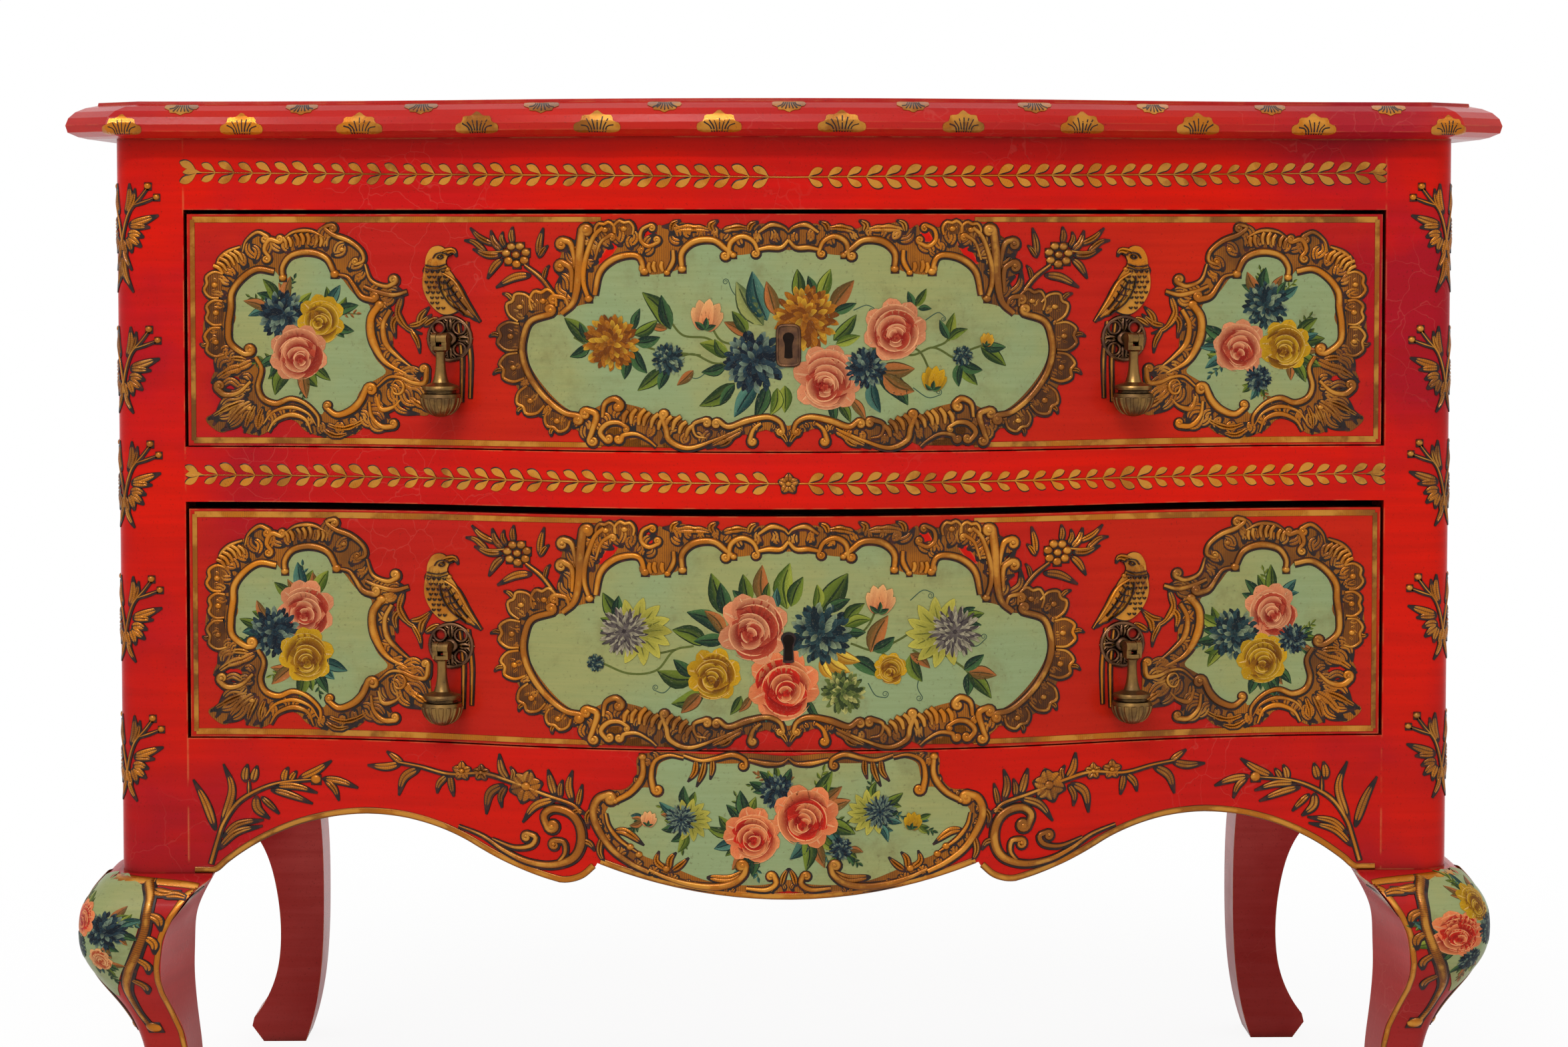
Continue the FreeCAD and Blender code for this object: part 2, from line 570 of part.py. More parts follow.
class Drawer:
    """One drawer: its pieces are made in the order in which they are cut to each other."""

    def __init__(self, name, floor, ceiling, top_gap, pull_below_top, has_escutcheon):
        self.name = name
        self.has_escutcheon = has_escutcheon
        self.low = floor + DRAWER_BOTTOM_GAP
        self.top = ceiling - top_gap
        self.rest = floor + SLIDE_CLEARANCE
        self.side_top = self.top - DRAWER_SIDE_DROP
        self.pull_z = ceiling - pull_below_top

    def bottom(self):
        low = self.rest + DRAWER_FLOOR_LIFT
        half = DRAWER_HALF - DRAWER_BOARD + DRAWER_GROOVE
        rear = DRAWER_END - DRAWER_BOARD
        return flat_front_edge(DRAWER_GROOVE - DRAWER_BACK_OFFSET, half, rear, low, low + DRAWER_FLOOR)

    def back(self):
        low = self.rest + DRAWER_FLOOR_LIFT + DRAWER_FLOOR
        half = DRAWER_HALF - DRAWER_BOARD + DRAWER_GROOVE
        rear = DRAWER_END - DRAWER_BOARD
        return box(V(-half, rear - DRAWER_BOARD, low), V(half, rear, self.side_top - DRAWER_SIDE_DROP))

    def side(self):
        """The right side with its tails, before the grooves."""
        start = POST_FRONT + DRAWER_BACK_OFFSET
        inner = DRAWER_HALF - DRAWER_BOARD
        board = box(V(inner, start, self.rest), V(DRAWER_HALF, DRAWER_END, self.side_top))
        pitch = (self.side_top - self.low) / TAILS
        tails = []
        for k in range(TAILS):
            middle = V(inner, start, self.low + (k + 1 / 2) * pitch)
            root = UP * (pitch * TAIL_ROOT_SHARE / 2)
            tip = UP * (pitch * TAIL_TIP_SHARE / 2)
            into = V(0, -TAIL_LENGTH, 0)
            outline = [middle - root, middle + into - tip, middle + into + tip, middle + root]
            tails.append(polygon_prism(outline, V(DRAWER_BOARD, 0, 0)))
        return board.fuse(tails).removeSplitter()

    def keyhole(self):
        """The key's way in, right through the front and the lock's face."""
        start = V(0, APEX_FRONT - OVERRUN, self.top - KEYHOLE_DROP)
        reach = DRAWER_BACK_OFFSET + OVERRUN - LOCK_DEPTH / 2
        eye = Part.makeCylinder(KEYHOLE_RADIUS, reach, start, V(0, 1, 0))
        low = start - V(KEYHOLE_SLOT / 2, 0, KEYHOLE_LENGTH)
        return eye.fuse(box(low, V(KEYHOLE_SLOT / 2, low.y + reach, start.z)))

    def lock_envelope(self):
        """The lock's outer shape: a shallow case on a wider back plate."""
        half = LOCK_WIDTH / 2
        low = self.top - LOCK_HEIGHT
        case = box(V(-half, LOCK_BACK - LOCK_DEPTH, low), V(half, LOCK_BACK, self.top))
        plate_half = half + LOCK_FLANGE
        plate = box(V(-plate_half, LOCK_BACK - LOCK_WALL, low), V(plate_half, LOCK_BACK, self.top))
        return case.fuse(plate).removeSplitter()

    def lock_recess(self):
        """What the front loses to the lock: its shape, and all the wood behind its back plate."""
        half = LOCK_WIDTH / 2 + LOCK_FLANGE
        low = V(-half, LOCK_BACK - LOCK_WALL, self.top - LOCK_HEIGHT)
        behind = box(low, V(half, LOCK_BACK + OVERRUN, self.top))
        return self.lock_envelope().fuse(behind).removeSplitter()

    def lock_screws(self):
        screws = []
        for side in (-1, 1):
            for z in (self.top - LOCK_SCREW_EDGE, self.top - LOCK_HEIGHT + LOCK_SCREW_EDGE):
                head = V(side * (LOCK_WIDTH + LOCK_FLANGE) / 2, LOCK_BACK, z)
                cone = Part.makeCone(LOCK_SCREW_HEAD, LOCK_SCREW_RADIUS, LOCK_WALL, head, V(0, -1, 0))
                shank = Part.makeCylinder(LOCK_SCREW_RADIUS, LOCK_SCREW_LENGTH, head, V(0, -1, 0))
                screws.append(cone.fuse(shank).removeSplitter())
        return screws

    def bolt(self):
        half = V(BOLT_WIDTH / 2, BOLT_DEPTH / 2, 0)
        head = V(0, LOCK_BACK - LOCK_DEPTH / 2, self.top)
        return box(head - half - UP * BOLT_HEIGHT, head + half)

    def lock_case(self):
        half = LOCK_WIDTH / 2 - LOCK_WALL
        low = self.top - LOCK_HEIGHT + LOCK_WALL
        face, back = LOCK_BACK - LOCK_DEPTH + LOCK_WALL, LOCK_BACK - LOCK_WALL
        hollow = box(V(-half, face, low), V(half, back, self.top - LOCK_WALL))
        slack = V(BOLT_CLEARANCE, BOLT_CLEARANCE, 0)
        way = self.bolt().BoundBox
        foot = V(way.XMin, way.YMin, way.ZMin) - slack
        slot = box(foot, V(way.XMax, way.YMax, way.ZMax + OVERRUN) + slack)
        return cut_all(self.lock_envelope(), [hollow, slot, self.keyhole()] + self.lock_screws())

    def escutcheon_blank(self):
        half = ESCUTCHEON_WIDTH / 2
        rise = ESCUTCHEON_HEIGHT / 2 - half
        y = APEX_FRONT + DRAWER_SET_BACK - ESCUTCHEON_PROUD
        z = self.top - KEYHOLE_DROP - (KEYHOLE_LENGTH - KEYHOLE_RADIUS) / 2
        head, foot = V(0, y, z + rise), V(0, y, z - rise)
        across = V(half, 0, 0)
        edges = [arc(head - across, head + UP * half, head + across), line(head + across, foot + across),
                 arc(foot + across, foot - UP * half, foot - across), line(foot - across, head - across)]
        return prism(edges, V(0, ESCUTCHEON_PROUD + ESCUTCHEON_INSET, 0))

    def front(self, pulls):
        """The shaped front, cut for its tails, bottom, lock, keyhole and studs."""
        slab = serpentine_slab(-DRAWER_SET_BACK, -DRAWER_BACK_OFFSET, self.low, self.top)
        slab = slab.common(box(V(-DRAWER_HALF, APEX_FRONT, self.low), V(DRAWER_HALF, CASE_BACK, self.top)))
        cutters = [self.side(), mirrored(self.side()), self.bottom(), self.lock_recess(), self.keyhole()]
        cutters += self.lock_screws() + [pull.stud_hole() for pull in pulls]
        if self.has_escutcheon:
            cutters.append(self.escutcheon_blank())
        return cut_all(slab, cutters)

    def export(self):
        pulls = [Pull(side, self.pull_z) for side in (-1, 1)]
        name = self.name
        side = cut_all(self.side(), [self.bottom(), self.back()])
        save(name + "_drawer_front", self.front(pulls))
        save(name + "_drawer_right_side", side)
        save(name + "_drawer_left_side", mirrored(side))
        save(name + "_drawer_back", self.back())
        save(name + "_drawer_bottom", self.bottom())
        save(name + "_lock_case", self.lock_case())
        save(name + "_lock_screws", *self.lock_screws())
        save(name + "_lock_bolt", self.bolt())
        if self.has_escutcheon:
            save(name + "_keyhole_escutcheon", self.escutcheon_blank().cut(self.keyhole()))
        save(name + "_pull_rosettes", *[pull.rosette() for pull in pulls])
        save(name + "_pull_studs", *[pull.stud() for pull in pulls])
        save(name + "_pull_nuts", *[pull.nut() for pull in pulls])
        save(name + "_pull_pins", *[pull.pin() for pull in pulls])
        for pull, label in zip(pulls, ("left", "right")):
            save(name + "_" + label + "_drop", pull.drop())


# A drop below its pivot: radius as a share of the cup's, depth as a share of the drop's length
DROP_COLLAR_SHARES = [(0.405, 0.095), (0.405, 0.14)]
DROP_NECK_SHARES = [(0.25, 0.165), (0.235, 0.23), (0.245, 0.33), (0.30, 0.45), (0.42, 0.555)]
DROP_FLANGE_SHARES = [(0.90, 0.60), (0.93, 0.625), (0.90, 0.65), (0.76, 0.662), (0.76, 0.69), (0.96, 0.705)]


class Pull:
    """A drop pull, made about the front's surface point with its stud along -Y, then set on the front."""

    def __init__(self, side, z):
        point, self.normal = front_at(side * (BEND_X + PULL_OUTSIDE_BEND), -DRAWER_SET_BACK)
        self.seat = V(point.x, point.y, z)
        self.turn = math.degrees(math.atan2(self.normal.x, -self.normal.y))

    def pivot(self):
        return self.seat + self.normal * PIVOT_STANDOFF

    def placed(self, shape):
        return shape.rotated(V(0, 0, 0), UP, self.turn).translated(self.seat)

    def stud_hole(self):
        reach = DRAWER_BACK_OFFSET + OVERRUN
        hole = Part.makeCylinder(STUD_RADIUS + STUD_CLEARANCE, reach + OVERRUN, V(0, -OVERRUN, 0), V(0, 1, 0))
        return self.placed(hole)

    def rosette(self):
        """A pierced plate with a scalloped rim and a raised middle."""
        seat = V(0, -ROSETTE_SEAT, 0)
        out = V(0, -1, 0)
        rim = ROSETTE_RADIUS - ROSETTE_LOBE_RADIUS
        plate = Part.makeCylinder(rim + ROSETTE_LOBE_RADIUS / 2, ROSETTE_THICKNESS, seat, out)
        lobes = []
        for k in range(ROSETTE_LOBES):
            angle = 2 * math.pi * (k + 1 / 2) / ROSETTE_LOBES
            place = seat + V(rim * math.cos(angle), 0, rim * math.sin(angle))
            lobes.append(Part.makeCylinder(ROSETTE_LOBE_RADIUS, ROSETTE_THICKNESS, place, out))
        boss = Part.makeCylinder(ROSETTE_BOSS_RADIUS, ROSETTE_THICKNESS + ROSETTE_BOSS_HEIGHT, seat, out)
        plate = plate.fuse(lobes + [boss]).removeSplitter()
        holes = [Part.makeCylinder(STUD_RADIUS + STUD_CLEARANCE, PIVOT_STANDOFF, V(0, OVERRUN, 0), out)]
        half_spread = ROSETTE_HOLE_SPREAD / (2 * ROSETTE_HOLE_CIRCLE)
        for quarter in range(4):
            for turn in (-half_spread, half_spread):
                angle = math.pi * (quarter + 1 / 2) / 2 + turn
                place = V(math.cos(angle), 0, math.sin(angle)) * ROSETTE_HOLE_CIRCLE + V(0, OVERRUN, 0)
                holes.append(Part.makeCylinder(ROSETTE_HOLE_RADIUS, PIVOT_STANDOFF, place, out))
        return self.placed(cut_all(plate, holes))

    def pin_blank(self, radius):
        length = EYE_WIDTH + CHEEK_GAP + CHEEK_GAP + CHEEK_WIDTH + CHEEK_WIDTH
        return Part.makeCylinder(radius, length, V(-length / 2, -PIVOT_STANDOFF, 0), V(1, 0, 0))

    def pin(self):
        return self.placed(self.pin_blank(PIN_RADIUS))

    def stud(self):
        """The stud: a screwed shank, a collar on the rosette and a flat eye for the pin."""
        out = V(0, -1, 0)
        neck = PIVOT_STANDOFF - EYE_REACH
        inner_end = V(0, FRONT_THICKNESS + STUD_TAIL, 0)
        shank = Part.makeCylinder(STUD_RADIUS, inner_end.y + neck, inner_end, out)
        boss_face = ROSETTE_SEAT + ROSETTE_THICKNESS + ROSETTE_BOSS_HEIGHT
        collar = Part.makeCylinder(STUD_COLLAR_RADIUS, neck - boss_face, V(0, -boss_face, 0), out)
        tongue = box(V(-EYE_WIDTH / 2, -PIVOT_STANDOFF, -STUD_RADIUS), V(EYE_WIDTH / 2, -neck, STUD_RADIUS))
        eye = Part.makeCylinder(EYE_RADIUS, EYE_WIDTH, V(-EYE_WIDTH / 2, -PIVOT_STANDOFF, 0), V(1, 0, 0))
        whole = shank.fuse([collar, tongue, eye]).removeSplitter()
        return self.placed(whole.cut(self.pin_blank(PIN_RADIUS)))

    def nut(self):
        """A six-sided nut on the shank, inside the drawer."""
        start = FRONT_THICKNESS + STUD_CLEARANCE
        corners = [V(NUT_RADIUS * math.cos(k * math.pi / 3), start, NUT_RADIUS * math.sin(k * math.pi / 3))
                   for k in range(6)]
        blank = polygon_prism(corners, V(0, NUT_THICKNESS, 0))
        bore = Part.makeCylinder(STUD_RADIUS, FRONT_THICKNESS, V(0, start - OVERRUN, 0), V(0, 1, 0))
        return self.placed(blank.cut(bore))

    def drop(self):
        """The turned drop: collar, waisted neck, flange and cup, under two cheeks round the eye."""
        def at(share):
            return V(share[0] * DROP_CUP_RADIUS, -PIVOT_STANDOFF, -share[1] * DROP_LENGTH)

        neck = Part.BSplineCurve()
        neck.interpolate([at(share) for share in DROP_NECK_SHARES])
        collar = [at(share) for share in DROP_COLLAR_SHARES]
        corners = [V(0, collar[0].y, collar[0].z)] + collar + [at(DROP_NECK_SHARES[0])]
        cup_middle = V(0, -PIVOT_STANDOFF, DROP_CUP_RADIUS - DROP_LENGTH)
        cup = [cup_middle + V(math.cos(a), 0, -math.sin(a)) * DROP_CUP_RADIUS
               for a in (0, math.pi / 4, math.pi / 2)]
        flange = [at(DROP_NECK_SHARES[-1])] + [at(share) for share in DROP_FLANGE_SHARES] + [cup[0]]
        edges = [line(a, b) for a, b in zip(corners, corners[1:])] + [neck.toShape()]
        edges += [line(a, b) for a, b in zip(flange, flange[1:])]
        edges += [arc(*cup), line(cup[2], corners[0])]
        axis_point = V(0, -PIVOT_STANDOFF, 0)
        turned = Part.Face(Part.Wire(Part.__sortEdges__(edges))).revolve(axis_point, UP, 360)
        cheeks = []
        for side in (-1, 1):
            near = side * (EYE_WIDTH / 2 + CHEEK_GAP)
            along = V(side, 0, 0)
            start = V(near, -PIVOT_STANDOFF, 0)
            disc = Part.makeCylinder(CHEEK_RADIUS, CHEEK_WIDTH, start, along)
            low_x, high_x = sorted((near, near + side * CHEEK_WIDTH))
            arm_low = V(low_x, -PIVOT_STANDOFF - CHEEK_WIDTH, collar[1].z)
            cheeks += [disc, box(arm_low, V(high_x, -PIVOT_STANDOFF + CHEEK_WIDTH, 0))]
        turned = turned.fuse(cheeks).removeSplitter().cut(self.pin_blank(PIN_RADIUS + PIN_CLEARANCE))
        return self.placed(turned)


def drawers():
    return [Drawer("upper", UPPER_FLOOR, UPPER_CEILING, UPPER_TOP_GAP, UPPER_PULL_BELOW_TOP, True),
            Drawer("lower", LOWER_FLOOR, LOWER_CEILING, LOWER_TOP_GAP, LOWER_PULL_BELOW_TOP, False)]


def save_pair(right_name, left_name, right):
    save(right_name, right)
    save(left_name, mirrored(right))


def both_sides(rights):
    return list(rights) + [mirrored(right) for right in rights]


def build():
    os.makedirs("parts", exist_ok=True)
    screws = both_sides(top_screws())
    save("top_board", cut_all(make_top_board(), screws))
    save("top_screws", *screws)
    save("top_cleats", *both_sides([cut_all(box(*cleat_box()), top_screws())]))
    save("frieze_rail", make_frieze_rail())
    save("middle_rail", make_middle_rail())
    save("bottom_rail", make_bottom_rail())
    save("front_apron", make_apron())
    save_pair("front_right_post", "front_left_post", make_front_post())
    save_pair("rear_right_post", "rear_left_post", make_rear_post())
    save_pair("right_side_panel", "left_side_panel", make_side_panel())
    save("back_boards", *make_back_boards())
    runner_foot = LOWER_FLOOR - RUNNER_THICKNESS
    save("upper_back_rail", make_back_rail(CASE_TOP - BACK_RAIL_HEIGHT, CASE_TOP))
    save("lower_back_rail", make_back_rail(LEG_HEIGHT, runner_foot))
    for name, floor in (("upper", UPPER_FLOOR), ("lower", LOWER_FLOOR)):
        save(name + "_dust_board", make_dust_board(floor))
        save(name + "_runners", *both_sides([make_runner(floor)]))
        save(name + "_guides", *both_sides([make_guide(floor)]))
    save("drawer_kickers", *both_sides([make_kicker()]))
    stop_x = BEND_X + STOP_OUTSIDE_BEND
    save("drawer_stops", *both_sides([make_stop(floor, stop_x) for floor in (UPPER_FLOOR, LOWER_FLOOR)]))
    front_corner = V(HALF_OPENING, POST_FRONT + APRON_THICKNESS, 0)
    rear_corner = V(RUNNER_OUTSIDE, RUNNER_BACK, 0)
    save("corner_blocks", *both_sides([make_corner_block(front_corner, -BLOCK_LEG, BLOCK_LEG, runner_foot),
                                       make_corner_block(rear_corner, -BLOCK_LEG, -BLOCK_LEG, runner_foot)]))
    save_pair("front_right_leg", "front_left_leg", make_front_leg())
    save_pair("rear_right_leg", "rear_left_leg", make_rear_leg())
    save("leg_dowels", *both_sides([dowel(*FRONT_DOWEL), rear_dowel()]))
    for drawer in drawers():
        drawer.export()


if __name__ == "__main__":
    build()
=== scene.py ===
"""The looks of a serpentine chest: red lacquer, raised gilding, painted bouquets and old brass.

Ornament is drawn flat in millimetres, across, up and out of the surface, and is then laid on the
serpentine front, the posts, the legs or the moulded edge of the top.
"""
import math
import random

import bmesh
import bpy
import numpy as np
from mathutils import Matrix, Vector
from mathutils.bvhtree import BVHTree


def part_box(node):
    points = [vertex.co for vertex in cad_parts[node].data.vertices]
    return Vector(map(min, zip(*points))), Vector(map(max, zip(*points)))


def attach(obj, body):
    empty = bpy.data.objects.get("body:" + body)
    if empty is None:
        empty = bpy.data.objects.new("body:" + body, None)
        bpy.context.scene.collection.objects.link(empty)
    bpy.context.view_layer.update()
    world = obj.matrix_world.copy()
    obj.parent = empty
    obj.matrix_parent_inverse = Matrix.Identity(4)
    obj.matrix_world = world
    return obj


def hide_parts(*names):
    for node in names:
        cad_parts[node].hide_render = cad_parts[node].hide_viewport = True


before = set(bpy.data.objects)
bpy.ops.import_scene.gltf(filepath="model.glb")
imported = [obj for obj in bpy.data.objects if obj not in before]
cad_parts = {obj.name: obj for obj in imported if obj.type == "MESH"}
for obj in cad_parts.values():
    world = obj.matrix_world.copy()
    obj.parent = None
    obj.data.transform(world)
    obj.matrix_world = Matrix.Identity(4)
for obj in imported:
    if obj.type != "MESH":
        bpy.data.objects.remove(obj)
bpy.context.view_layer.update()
draw = random.Random(7)

# The front of the case, read from the frame, in metres
MM = 0.001
POST_LOW, POST_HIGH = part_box("front_right_post")
HALF_CASE = POST_HIGH.x
HALF_OPENING = POST_LOW.x
POST_FRONT = POST_LOW.y
APEX_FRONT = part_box("front_apron")[0].y
SWEEP_ANGLE = 2 * math.atan((POST_FRONT - APEX_FRONT) / HALF_OPENING)
SWEEP_RADIUS = HALF_OPENING / (2 * math.sin(SWEEP_ANGLE))
POST_ROUNDING = 0.022
DRAWER_SET_BACK = 0.002
DRAWERS = ("upper", "lower")
SIDES = ((-1, "left"), (1, "right"))

# Heights out of the surface, in millimetres
SUNK = -0.4
FIELD_HEIGHT = 0.5
OPENING_HEIGHT = 0.62
SHADE_HEIGHT = 0.75
GROUND_HEIGHT = 0.65
PAINT_HEIGHT = 0.72
PAINT_STEP = 0.0008
PAINT_RISE = 0.0004
PETAL_STEP = 1.4
PLATE_HEIGHT = 1.7

# Crest, hatching and tone of a gilt field
FIELD_PAINT = (0.6, 0.6, 0.7, 1)


def linear(red, green, blue, alpha=1.0):
    """A colour given as 8-bit screen values, for a shader."""
    def channel(value):
        share = value / 255
        return share / 12.92 if share <= 0.04045 else ((share + 0.055) / 1.055) ** 2.4
    return (channel(red), channel(green), channel(blue), alpha)


# Node helpers

def add(tree, kind, inputs=None, **settings):
    """A node with its settings made and its named or numbered inputs set or linked."""
    made = tree.nodes.new(kind)
    for name, value in settings.items():
        setattr(made, name, value)
    for name, value in (inputs or {}).items():
        if isinstance(value, bpy.types.NodeSocket):
            tree.links.new(value, made.inputs[name])
        else:
            made.inputs[name].default_value = value
    return made


def calc(tree, operation, first, second=0.0):
    """One step of arithmetic."""
    return add(tree, "ShaderNodeMath", {0: first, 1: second}, operation=operation).outputs[0]


def blend(tree, factor, first, second, kind="MIX"):
    """Two colours mixed by a factor."""
    made = add(tree, "ShaderNodeMix", {0: factor, 6: first, 7: second}, data_type="RGBA", blend_type=kind)
    return made.outputs[2]


def tint(tree, colour, mask, share, other):
    """A colour mixed towards another by a share of a mask."""
    return blend(tree, calc(tree, "MULTIPLY", mask, share), colour, other)


def spread(tree, value, low, high, to_low=0.0, to_high=1.0):
    """A value stretched smoothly from one range to another and held at its ends."""
    made = add(tree, "ShaderNodeMapRange", {"Value": value, "From Min": low, "From Max": high,
                                            "To Min": to_low, "To Max": to_high})
    made.interpolation_type = "SMOOTHSTEP"
    return made.outputs[0]


def noise(tree, vector, scale, detail=3.0, roughness=0.55):
    """Soft noise from 0 to 1."""
    made = add(tree, "ShaderNodeTexNoise", {"Vector": vector, "Scale": scale, "Detail": detail,
                                            "Roughness": roughness})
    return made.outputs["Fac"]


def stretched(tree, vector, size):
    """A place scaled by a size for each axis."""
    return add(tree, "ShaderNodeMapping", {"Vector": vector, "Scale": size}).outputs[0]


def bump(tree, height, strength, distance):
    """A normal bent by a height."""
    return add(tree, "ShaderNodeBump", {"Height": height, "Strength": strength,
                                        "Distance": distance}).outputs[0]


def object_place(tree):
    """Where a point lies in the object, in metres."""
    return add(tree, "ShaderNodeTexCoord").outputs["Object"]


def axes(tree, vector):
    """A vector's three parts."""
    return add(tree, "ShaderNodeSeparateXYZ", {0: vector}).outputs


def attribute(tree, name, kind):
    """What each point of a piece carries under a name."""
    return add(tree, "ShaderNodeAttribute", attribute_name=name).outputs[kind]


def new_group(name, inputs, outputs):
    """An empty shader group with number inputs and outputs, and its two end nodes."""
    tree = bpy.data.node_groups.new(name, "ShaderNodeTree")
    for label, value in inputs.items():
        socket = tree.interface.new_socket(label, in_out="INPUT", socket_type="NodeSocketFloat")
        socket.default_value = value
    for label in outputs:
        tree.interface.new_socket(label, in_out="OUTPUT", socket_type="NodeSocketFloat")
    return tree, tree.nodes.new("NodeGroupInput"), tree.nodes.new("NodeGroupOutput")


def close_group(tree, end, results):
    """A group's outputs joined up."""
    for label, value in results.items():
        tree.links.new(value, end.inputs[label])
    return tree


def aged_surface_group():
    """Clouds, level brush streaks, dark specks and fine cracks of an old painted surface."""
    tree, start, end = new_group(
        "aged_surface",
        {"Cloud Scale": 6.0, "Streak Scale": 4.0, "Speck Scale": 600.0, "Crack Scale": 22.0},
        ["Clouds", "Streaks", "Specks", "Cracks"])
    place = object_place(tree)
    clouds = spread(tree, noise(tree, place, start.outputs["Cloud Scale"], 4.0), 0.36, 0.66)
    level = stretched(tree, place, (1.0, 1.0, 22.0))
    streaks = spread(tree, noise(tree, level, start.outputs["Streak Scale"], 5.0, 0.65), 0.3, 0.7)
    specks = spread(tree, noise(tree, place, start.outputs["Speck Scale"], 2.0), 0.6, 0.78)
    shaken = add(tree, "ShaderNodeTexNoise", {"Vector": place, "Scale": 14.0, "Detail": 4.0})
    moved = add(tree, "ShaderNodeVectorMath", {0: shaken.outputs["Color"], 1: (0.08, 0.08, 0.08)},
                operation="MULTIPLY").outputs[0]
    crazed = add(tree, "ShaderNodeVectorMath", {0: place, 1: moved}, operation="ADD").outputs[0]
    cells = add(tree, "ShaderNodeTexVoronoi", {"Vector": crazed, "Scale": start.outputs["Crack Scale"]},
                feature="DISTANCE_TO_EDGE").outputs["Distance"]
    lines = spread(tree, cells, 0.0, 0.02, 1.0, 0.0)
    patches = spread(tree, noise(tree, place, 5.0, 2.0), 0.5, 0.62)
    cracks = calc(tree, "MULTIPLY", lines, patches)
    return close_group(tree, end, {"Clouds": clouds, "Streaks": streaks, "Specks": specks,
                                   "Cracks": cracks})


def worn_edge_group():
    """Where a corner is worn, broken up by noise."""
    tree, start, end = new_group("worn_edge", {"Radius": 0.002, "Break Scale": 60.0}, ["Wear"])
    place = object_place(tree)
    rounded = add(tree, "ShaderNodeBevel", {"Radius": start.outputs["Radius"]}, samples=4).outputs[0]
    true = add(tree, "ShaderNodeNewGeometry").outputs["Normal"]
    same = add(tree, "ShaderNodeVectorMath", {0: rounded, 1: true},
               operation="DOT_PRODUCT").outputs["Value"]
    corner = spread(tree, same, 0.97, 0.8)
    broken = spread(tree, noise(tree, place, start.outputs["Break Scale"], 4.0), 0.42, 0.6)
    return close_group(tree, end, {"Wear": calc(tree, "MULTIPLY", corner, broken)})


def corner_shade_and_soil_group():
    """Darkening in corners and recesses by ambient occlusion: painted shade, with some soiling there too.
    """
    tree, start, end = new_group("corner_shade_and_soil", {"Reach": 0.01}, ["Shade and Soil"])
    open_sky = add(tree, "ShaderNodeAmbientOcclusion", {"Distance": start.outputs["Reach"]}, samples=6)
    shade_and_soil = spread(tree, open_sky.outputs["AO"], 0.9, 0.25)
    return close_group(tree, end, {"Shade and Soil": shade_and_soil})


AGED = aged_surface_group()
WORN = worn_edge_group()
SHADE_AND_SOIL = corner_shade_and_soil_group()


def use(tree, group, **values):
    """A shared group placed in a material; returns its outputs."""
    named = {label.replace("_", " "): value for label, value in values.items()}
    return add(tree, "ShaderNodeGroup", named, node_tree=group).outputs


def new_material(name):
    """An empty material, its node tree and where a point lies in the object."""
    made = bpy.data.materials.new(name)
    made.use_nodes = True
    tree = made.node_tree
    tree.nodes.clear()
    return made, tree, object_place(tree)


def surface(tree, **inputs):
    """The material's shader, joined to its output; spaces in socket names are written as underscores."""
    named = {label.replace("_", " "): value for label, value in inputs.items()}
    shader = add(tree, "ShaderNodeBsdfPrincipled", named)
    add(tree, "ShaderNodeOutputMaterial", {"Surface": shader.outputs[0]})


# Materials

BRIGHT_RED = linear(202, 20, 3)
DRAWER_RED = linear(184, 34, 14)
TOP_RED = linear(178, 30, 18)
# The rear legs' red: a dusty pink, made paler as painted light against the shade under the case
REAR_DUSTY_LIT_RED = linear(208, 88, 84)
CRIMSON = linear(150, 16, 30)
LEG_RED = linear(140, 44, 40)
# Brown of the dark specks, and of the painted shade in corners
SOIL_AND_SHADE_BROWN = linear(58, 22, 14)
WORN_TAN = linear(196, 120, 70)


def wood_colour(tree, place, along=0):
    """Bare softwood, its grain long on the axis of that number."""
    fine = [1.0 if axis == along else 38.0 for axis in range(3)]
    wide = [0.6 if axis == along else 9.0 for axis in range(3)]
    grain = noise(tree, stretched(tree, place, fine), 9.0, 6.0, 0.6)
    rings = noise(tree, stretched(tree, place, wide), 6.0, 3.0)
    pale = blend(tree, spread(tree, rings, 0.35, 0.65), linear(150, 104, 62), linear(186, 140, 92))
    return blend(tree, spread(tree, grain, 0.45, 0.8), pale, linear(112, 72, 42)), grain


